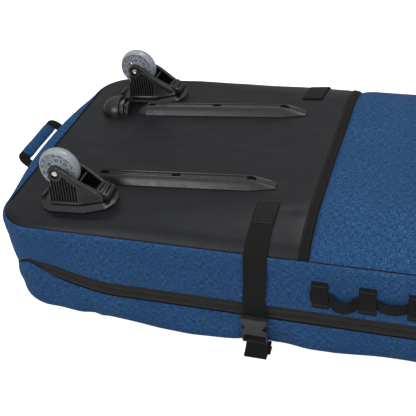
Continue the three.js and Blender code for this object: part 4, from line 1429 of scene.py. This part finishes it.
def cheek_shape():
    """Plate with a boss round the bolt, a raised band along its sloping edge, a smooth front
    triangle and upright ribs between them."""
    inner_face, face = CHEEK_OUT - 1.0, CHEEK_OUT + RELIEF
    arc = [(x, HUB_Z + z) for x, z in (turn(a, BOSS_R) for a in range(184, 47, -8))]
    start_x, start_z = arc[-1]
    front = (69, 23.5)
    run_x, run_z = front[0] - start_x, front[1] - start_z

    def slope_z(x):
        return start_z + (x - start_x) * run_z / run_x

    edge = [(73, 19.5), (74, FOOT), (-19, FOOT), (-18, 22), (-14.5, 34)]
    plate = prism(arc + [front] + edge, CHEEK_IN, CHEEK_OUT, 0.7)
    rim = [(x, HUB_Z + z) for x, z in (turn(9 * k, BOSS_R) for k in range(40))]
    collar = cut(prism(rim, inner_face, face, 1.1), disc(0, HUB_Z, 7.6, inner_face - 4, face + 4))

    band_w = 9.5
    across = Vector((run_z, -run_x)).normalized() * band_w
    band = prism([(start_x, start_z), front, (front[0] + 3, front[1] - 4),
                  (front[0] + across.x, front[1] + across.y), (start_x + across.x, start_z + across.y)],
                 inner_face, face, 1.1)
    triangle_x = 33
    triangle = prism([(triangle_x, slope_z(triangle_x) - 6), front, (73, 19), (73.4, FOOT),
                      (triangle_x, FOOT)], inner_face, face - 0.6, 0.8)
    hem = prism([(-17.4, FOOT), (-17.4, FOOT + 4), (40, FOOT + 4), (40, FOOT)], inner_face, face - 0.2, 0.8)
    ribs = []
    count, first, last, rib_w = 10, -14.6, 29.6, 2.1
    for k in range(count):
        x = mix(first, last, k / (count - 1))
        top = min(HUB_Z - 11.5 + 2 * (x > 0), slope_z(x) - band_w - 1, 34 + (x + 16) * 3)
        left, right = x - rib_w / 2, x + rib_w / 2
        ribs.append(prism([(left, FOOT + 1), (right, FOOT + 1), (right, top), (left, top)],
                          inner_face, face - 0.4, 0.6))
    bolt_hole = disc(0, HUB_Z, 4.5, 0, 60)
    return cut(flared(union(plate, collar, band, triangle, hem, *ribs)), bolt_hole)


def fender_shape():
    """Curved tray in front of the wheel, between the cheeks."""
    radius, thickness = 39.5, 3
    inner = [turn(a, radius) for a in range(-78, -19, 5)]
    outer = [turn(a, radius + thickness) for a in range(-23, -79, -5)]
    return prism([(x, HUB_Z + z) for x, z in inner + outer], -18, 18, 0.8)


def fork_shape():
    """Two mirrored cheeks, joined by a tray at their foot, a back plate, a slotted front block and
    the fender."""
    cheek = cheek_shape()
    other = copy_of(cheek, Matrix.Scale(-1, 4, Y_AXIS))
    plan = [(-16, 27), (CONVERGE_X, 27), (72, 16)]
    plan += [(x, -y) for x, y in reversed(plan)]
    tray = reshape(prism(plan, BASE_H + 0.6, FOOT + 5), lambda x, y, z: (x, -z, y))
    nose = [(56, 2), (56, 13), (59, 16.5), (71, 16.5), (74.5, 12.5), (81, 11), (84, 7), (84, 0)]
    nose = prism([(x, FOOT + z) for x, z in nose], -16, 16, 1.0)
    clip_slots = [block(66.4, 69.2, -11, 11, FOOT + 9, FOOT + 22, 0.3),
                  block(75.6, 78.4, -12, 12, FOOT + 6, FOOT + 22, 0.3)]
    back = block(-18, -12.5, -25, 25, FOOT, FOOT + 13, 1.2)
    return cut(union(cheek, other, tray, nose, back, fender_shape()), *clip_slots)


# ---- wheels

WHEEL_R = 35
HUB_R = 22.6


def ring_of(count, radius, depth, half_w, y0, y1, phase=0.5):
    """Rounded plugs round the axle, for cutting windows and pockets."""
    squareness, sides = 0.6, 16
    plugs = []
    for k in range(count):
        a = 2 * math.pi * (k + phase) / count
        rim = []
        for j in range(sides):
            across, out = (math.copysign(abs(v) ** squareness, v) for v in turn(360 * j / sides))
            r, t = radius + depth * out, half_w * across
            rim.append((r * math.cos(a) - t * math.sin(a), r * math.sin(a) + t * math.cos(a)))
        plugs.append(prism(rim, y0, y1))
    return joined(plugs)


def turned(half, segments):
    """A ring turned from the +Y half of its section, mirrored and closed."""
    profile = half + [(r, -y) for r, y in reversed(half) if y]
    return lathe(profile + profile[:1], segments)


def tyre_shape():
    """Round crown, side faces set back inside it, and a ring of pockets in each side face."""
    half = [(HUB_R + 0.2, 7.4), (23.4, 8.2), (29.3, 8.4), (29.9, 8.7), (30.4, 9.6), (31.0, 9.9), (31.9, 8.9),
            (33.3, 6.7), (34.3, 4.3), (34.9, 1.9), (WHEEL_R, 0)]
    pockets = [ring_of(14, 26.6, 2.3, 3.7, y0, y1) for y0, y1 in ((-12, -5.2), (5.2, 12))]
    return cut(turned(half, 96), *pockets)


def hub_shape():
    """Bearing seat, a thin web with windows between pairs of spokes, and a rim that meets the tyre."""
    half = [(6.6, 3.4), (11.2, 3.4), (11.2, 11.0), (12.1, 11.0), (12.3, 5.6), (19.6, 5.6), (20.2, 6.6),
            (21.8, 7.6), (HUB_R, 7.2)]
    windows = [ring_of(6, 15.9, 3.2, half_w, -20, 20, phase) for half_w, phase in ((4.5, 0.5), (1.7, 0))]
    return cut(turned(half, 96), *windows)


def bolt_shape():
    """Plated axle bolt: domed head with a hex socket, and a nut cap on the far end."""
    half = [(0, 22.0), (3.0, 22.0), (4.9, 21.4), (5.7, 20.2), (5.9, 18.9), (4, 18.8)]
    bolt = lathe(half + [(r, -y) for r, y in reversed(half)], 32)
    hexagon = [turn(60 * k, 2.6) for k in range(6)]
    return cut(bolt, *[prism(hexagon, y0, y1) for y0, y1 in ((-26, -20.2), (20.2, 26))])


def bearing_shape():
    """Outer race, inner race and a dust shield between them, as one ring."""
    profile = [(4.3, 11.5), (6.0, 11.5), (6.3, 11.0), (9.2, 11.0), (9.5, 11.5), (11.1, 11.5), (11.1, 4.6),
               (4.3, 4.6)]
    return lathe(profile + profile[:1], 48)


def build_wheel_units():
    base, fork, tyre, hub = base_shape(), fork_shape(), tyre_shape(), hub_shape()
    bolt, bearing = bolt_shape(), bearing_shape()
    for side, sign in SIDES.items():
        unit = DECK @ Matrix.Translation((0, sign * TRACK_HALF, 0))
        axle = unit @ Matrix.Translation((0, 0, HUB_Z))
        wheel = f"wheel_{side}"
        plate = copy_of(base, Matrix.Scale(sign, 4, Y_AXIS))
        parts = [(plate, "bracket", "tub", "black_plastic", "bracket_base", unit, 18),
                 (copy_of(fork), "fork", "tub", "black_plastic", "wheel_fork", unit, 32),
                 (copy_of(tyre), "tyre", wheel, "clear_tyre", "wheel_tyre", axle, 60),
                 (copy_of(hub), "hub", wheel, "clear_hub", "wheel_hub", axle, 40),
                 (copy_of(bolt), "bolt", "tub", "steel", "axle_bolt", axle, SMOOTH_EDGES)]
        for shape, name, body, slot, node, matrix, smooth_below in parts:
            place(shape, f"{name}_{side}", body, slot, [f"{node}_{side}"], matrix, smooth_below)
        for end, flip in (("outer", 1), ("inner", -1)):
            ring = copy_of(bearing, Matrix.Scale(flip, 4, Y_AXIS))
            place(ring, f"bearing_{side}_{end}", wheel, "steel", [f"wheel_bearing_{side}_{end}"], axle)
    discard(base, fork, tyre, hub, bolt, bearing)


# ---- handles


def loop_path(span, reach, bend):
    """Flat U in the local XZ plane: feet at z = 0, grip at z = reach."""
    half, steps = span / 2, 4
    rise = [(-half, 1.0), (-half - 0.6, (reach - bend) * 0.5), (-half, reach - bend)]
    for k in range(1, steps + 1):
        c, s = turn(90 * k / steps)
        rise.append((-half + bend * (1 - c), reach - bend + bend * s))
    points = rise + [(-x, z) for x, z in reversed(rise)]
    return spline([(x, -WEB_T / 2, z) for x, z in points], 3)


GRIP_HALF_T = 4.2
GRIP_SQUARENESS = 0.62  # 1 gives an elliptical section, less a flatter one
GRIP_SWELL = 1.0  # no point of a grip moves further than this as it is inflated
GRIP_VOXEL = 2.6
CLOTH_PRESSURE = 4
CLOTH_FRAMES = 18
TACK_ROWS = (8, 15)  # distances from the hinge to the bars of stitches on each foot


def grip_shape(length, reach, half_w, seed):
    """Padded grip wrapped round the loop: a swollen tube with a lengthwise seam."""
    count, sides, seam_side = 41, 28, 7
    rings = []
    for k in range(count):
        t = k / (count - 1)
        x = mix(-length / 2, length / 2, t)
        swell = 0.9 + 0.1 * smooth(min(t, 1 - t) * length / 9)
        ring = []
        for j in range(sides):
            c, s = turn(360 * j / sides)
            folds = 0.5 * ripple(x * 1.6, 10 * c, 10 * s, 12, seed)
            folds += 0.35 * ripple(x * 0.4, 10 * c, 10 * s, 5, seed)
            size = swell + 0.05 * folds
            c, s = (math.copysign(abs(v) ** GRIP_SQUARENESS, v) for v in (c, s))
            groove = 0.66 * math.exp(-((j - seam_side) / 0.9) ** 2)
            ring.append(Vector((x, (GRIP_HALF_T * size - groove) * s, reach + half_w * c * size)))
        rings.append(ring)
    return tube(rings)


def inflate(obj, cap, voxel):
    """Swells a closed shape as padded cloth, no point moving further than cap."""
    obj.data.transform(Matrix.Scale(MM, 4))
    remesh = obj.modifiers.new("remesh", "REMESH")
    remesh.mode = "VOXEL"
    remesh.voxel_size = voxel * MM
    bake_modifiers(obj)
    rest = np.array([v.co for v in obj.data.vertices])
    cloth = obj.modifiers.new("cloth", "CLOTH")
    cloth.settings.use_pressure = True
    cloth.settings.uniform_pressure_force = CLOTH_PRESSURE
    cloth.settings.effector_weights.gravity = 0
    cloth.settings.quality = 5
    cloth.point_cache.frame_start, cloth.point_cache.frame_end = 1, CLOTH_FRAMES
    for k in range(1, CLOTH_FRAMES + 1):
        bpy.context.scene.frame_set(k)
    bake_modifiers(obj)
    bpy.context.scene.frame_set(1)
    step = np.array([v.co for v in obj.data.vertices]) - rest
    length = np.linalg.norm(step, axis=1, keepdims=True)
    step *= np.minimum(1.0, cap * MM / np.maximum(length, 1e-9))
    obj.data.vertices.foreach_set("co", (rest + step).astype(np.float32).ravel())
    obj.data.transform(Matrix.Scale(1 / MM, 4))
    return obj


def handle_frame(joint, across, reach):
    """The frame of a handle at its hinge: local X across its feet, local Z out to its grip."""
    across, reach = Vector(across), Vector(reach).normalized()
    axes = Matrix((across, reach.cross(across), reach)).transposed().to_4x4()
    return Matrix.Translation(Vector(JOINTS[joint]["pos_m"]) / MM) @ axes


def lay_grip_uv(obj):
    """UV from the local axes of a grip: along it, and round it."""
    mesh = obj.data
    corners = []
    for loop in mesh.loops:
        p = mesh.vertices[loop.vertex_index].co
        corners.append((p.x, p.y + p.z))
    for layer in list(mesh.uv_layers):
        mesh.uv_layers.remove(layer)
    lay_uv(obj, corners)
    return obj


def build_handle(kind, span, reach, width, bend, frame_at, grip=0, seed=1.0):
    """Webbing loop with its stitches, and a padded grip of some length round it."""
    web = webbing(loop_path(span, reach, bend), lambda i, p: Y_AXIS, width)
    place_web(web, f"{kind}_web", kind, [f"{kind}_webbing"], frame_at)
    tacks = []
    for x in (-span / 2, span / 2):
        for z in TACK_ROWS:
            tacks += bar_tack(Vector((x, WEB_T / 2 + 0.3, z)), X_AXIS, Z_AXIS, width - 5)
    sew(f"{kind}_stitches", tacks, kind, matrix=frame_at)
    if not grip:
        return
    pad = grip_shape(grip, reach, width / 2 + 1.0, seed)
    inflate(pad, GRIP_SWELL, GRIP_VOXEL)
    lay_grip_uv(pad)
    place(soften(pad), f"{kind}_grip", kind, "blue_fabric", [f"{kind}_sleeve"], frame_at, SMOOTH_ALL)
    seam = [(x, GRIP_HALF_T + 0.9, reach) for x in np.linspace(-grip / 2 + 6, grip / 2 - 6, 12)]
    stitches = stitched_line(seam, Vector((0, 0.2, 0)), 4.0)
    sew(f"{kind}_seam", stitches, kind, "blue_fabric", frame_at)


def sleeve_length(node):
    """The longest side of a sleeve's box."""
    low, high = box_mm(node)
    return max(high - low)


def build_handles():
    lift, hang = math.radians(38), math.radians(12)
    for kind, sign, sleeve in (("end_handle", -1, "end_handle_sleeve"), ("tail_handle", 1, None)):
        place_at = handle_frame(f"{kind}_swing", (0, -sign, 0), (sign * math.cos(lift), 0, math.sin(lift)))
        build_handle(kind, 126, 26, 20, 6, place_at, sleeve_length(sleeve) if sleeve else 0, seed=2.0)
    place_at = handle_frame("carry_handle_swing", X_AXIS, (0, -math.sin(hang), -math.cos(hang)))
    grip = sleeve_length("carry_handle_sleeve")
    build_handle("carry_handle", CARRY_SPAN, 52, 30, 20, place_at, grip, seed=5.0)


# ---- carried-over CAD nodes


def finish_cad_nodes():
    """The zip sliders and their pullers keep their CAD shape with rounded edges, and the board keeps its CAD
    shape.
    """
    dress = {"zip_slider_a": "slider_metal", "zip_slider_b": "slider_metal",
             "zip_puller_a": "black_plastic", "zip_puller_b": "black_plastic", "stiffener_board": "board"}
    for node, slot in dress.items():
        obj = NODES[node]
        obj.data.materials.clear()
        obj.data.materials.append(MATERIALS[slot])
        if node != "stiffener_board":
            rounding = obj.modifiers.new("rounding", "BEVEL")
            rounding.width = 0.45 * MM
            rounding.segments = 2
            rounding.limit_method = "ANGLE"
            rounding.harden_normals = True


# ---- stage, light, camera

WORLD_LOW, WORLD_HIGH = 0.14, 0.9  # the world's light at the horizon and overhead
FLOOR_GLOW = 0.8  # only the camera sees this, so the floor reads as white paper
FLOOR_HALF = 9  # metres, as all below
LIT_POINT = Vector((-0.35, 0, 0.15))
LAMPS = (((-0.2, 0.6, 2.4), 1.1, 20), ((-1.9, -2.2, 1.5), 1.4, 26), ((1.2, -2.6, 1.3), 1.6, 20),
         ((0.2, -1.6, 1.65), 0.35, 6))  # place, size, watts

def light_the_world():
    """White where the camera sees it; as a light, soft and brighter overhead than at the horizon."""
    world = bpy.data.worlds.new("studio")
    world.use_nodes = True
    nodes, links = world.node_tree.nodes, world.node_tree.links
    background = nodes["Background"]
    background.inputs["Color"].default_value = (1, 1, 1, 1)
    coordinates = nodes.new("ShaderNodeTexCoord")
    height = nodes.new("ShaderNodeSeparateXYZ")
    links.new(coordinates.outputs["Generated"], height.inputs[0])
    sky = nodes.new("ShaderNodeMapRange")
    for key, value in (("From Min", 0.0), ("From Max", 1.0), ("To Min", WORLD_LOW), ("To Max", WORLD_HIGH)):
        sky.inputs[key].default_value = value
    links.new(height.outputs["Z"], sky.inputs["Value"])
    seen = nodes.new("ShaderNodeLightPath")
    choose = nodes.new("ShaderNodeMix")
    links.new(seen.outputs["Is Camera Ray"], choose.inputs[0])
    links.new(sky.outputs["Result"], choose.inputs[2])
    choose.inputs[3].default_value = 1.0
    links.new(choose.outputs[0], background.inputs["Strength"])
    bpy.context.scene.world = world


def build_stage():
    corners = [(x * FLOOR_HALF, y * FLOOR_HALF, 0) for x, y in ((-1, -1), (1, -1), (1, 1), (-1, 1))]
    floor = make_object("floor", corners, [(0, 1, 2, 3)])
    pale = Graph("floor_pale")
    glow = pale.math("MULTIPLY", pale.node("LightPath").outputs["Is Camera Ray"], FLOOR_GLOW)
    pale.set(Base_Color=(0.62, 0.62, 0.62, 1), Roughness=0.9, Specular_IOR_Level=0.0,
             Emission_Color=(1, 1, 1, 1), Emission_Strength=glow)
    floor.data.materials.append(pale.material)
    light_the_world()
    for i, (spot, size, watts) in enumerate(LAMPS):
        lamp = bpy.data.lights.new(f"softbox_{i}", "AREA")
        lamp.size = size
        lamp.energy = watts
        obj = bpy.data.objects.new(f"softbox_{i}", lamp)
        obj.location = spot
        obj.rotation_mode = "QUATERNION"
        obj.rotation_quaternion = (LIT_POINT - Vector(spot)).to_track_quat("-Z", "Y")
        bpy.context.scene.collection.objects.link(obj)


def build_camera():
    """The studio camera: above and in front of the zipped side, looking at the wheel end."""
    camera = bpy.data.objects.new("camera", bpy.data.cameras.new("camera"))
    bpy.context.scene.collection.objects.link(camera)
    camera.data.sensor_width = 36
    camera.data.lens = 72.82
    camera.data.clip_start, camera.data.clip_end = 0.05, 50
    right = Vector((0.95039, 0.29702, -0.09237))
    down = Vector((0.10398, -0.58327, -0.80560))
    ahead = Vector((-0.29316, 0.75603, -0.58522))
    axes = Matrix((right, -down, -ahead)).transposed().to_4x4()
    camera.matrix_world = Matrix.Translation((-0.1021, -1.1672, 0.9691)) @ axes
    bpy.context.scene.camera = camera
    bpy.context.scene.view_settings.view_transform = "Standard"


# ---- the whole bag

build_deck()
build_binding()
build_walls()
build_seam_shadow_cord()
build_lid_floor()
build_tub_lining()
build_board_straps()
build_gusset()
build_zip()
build_straps()
build_lower_strap()
build_buckle()
build_daisy_chain()
build_rails()
build_wheel_units()
build_handles()
finish_cad_nodes()
build_stage()
build_camera()
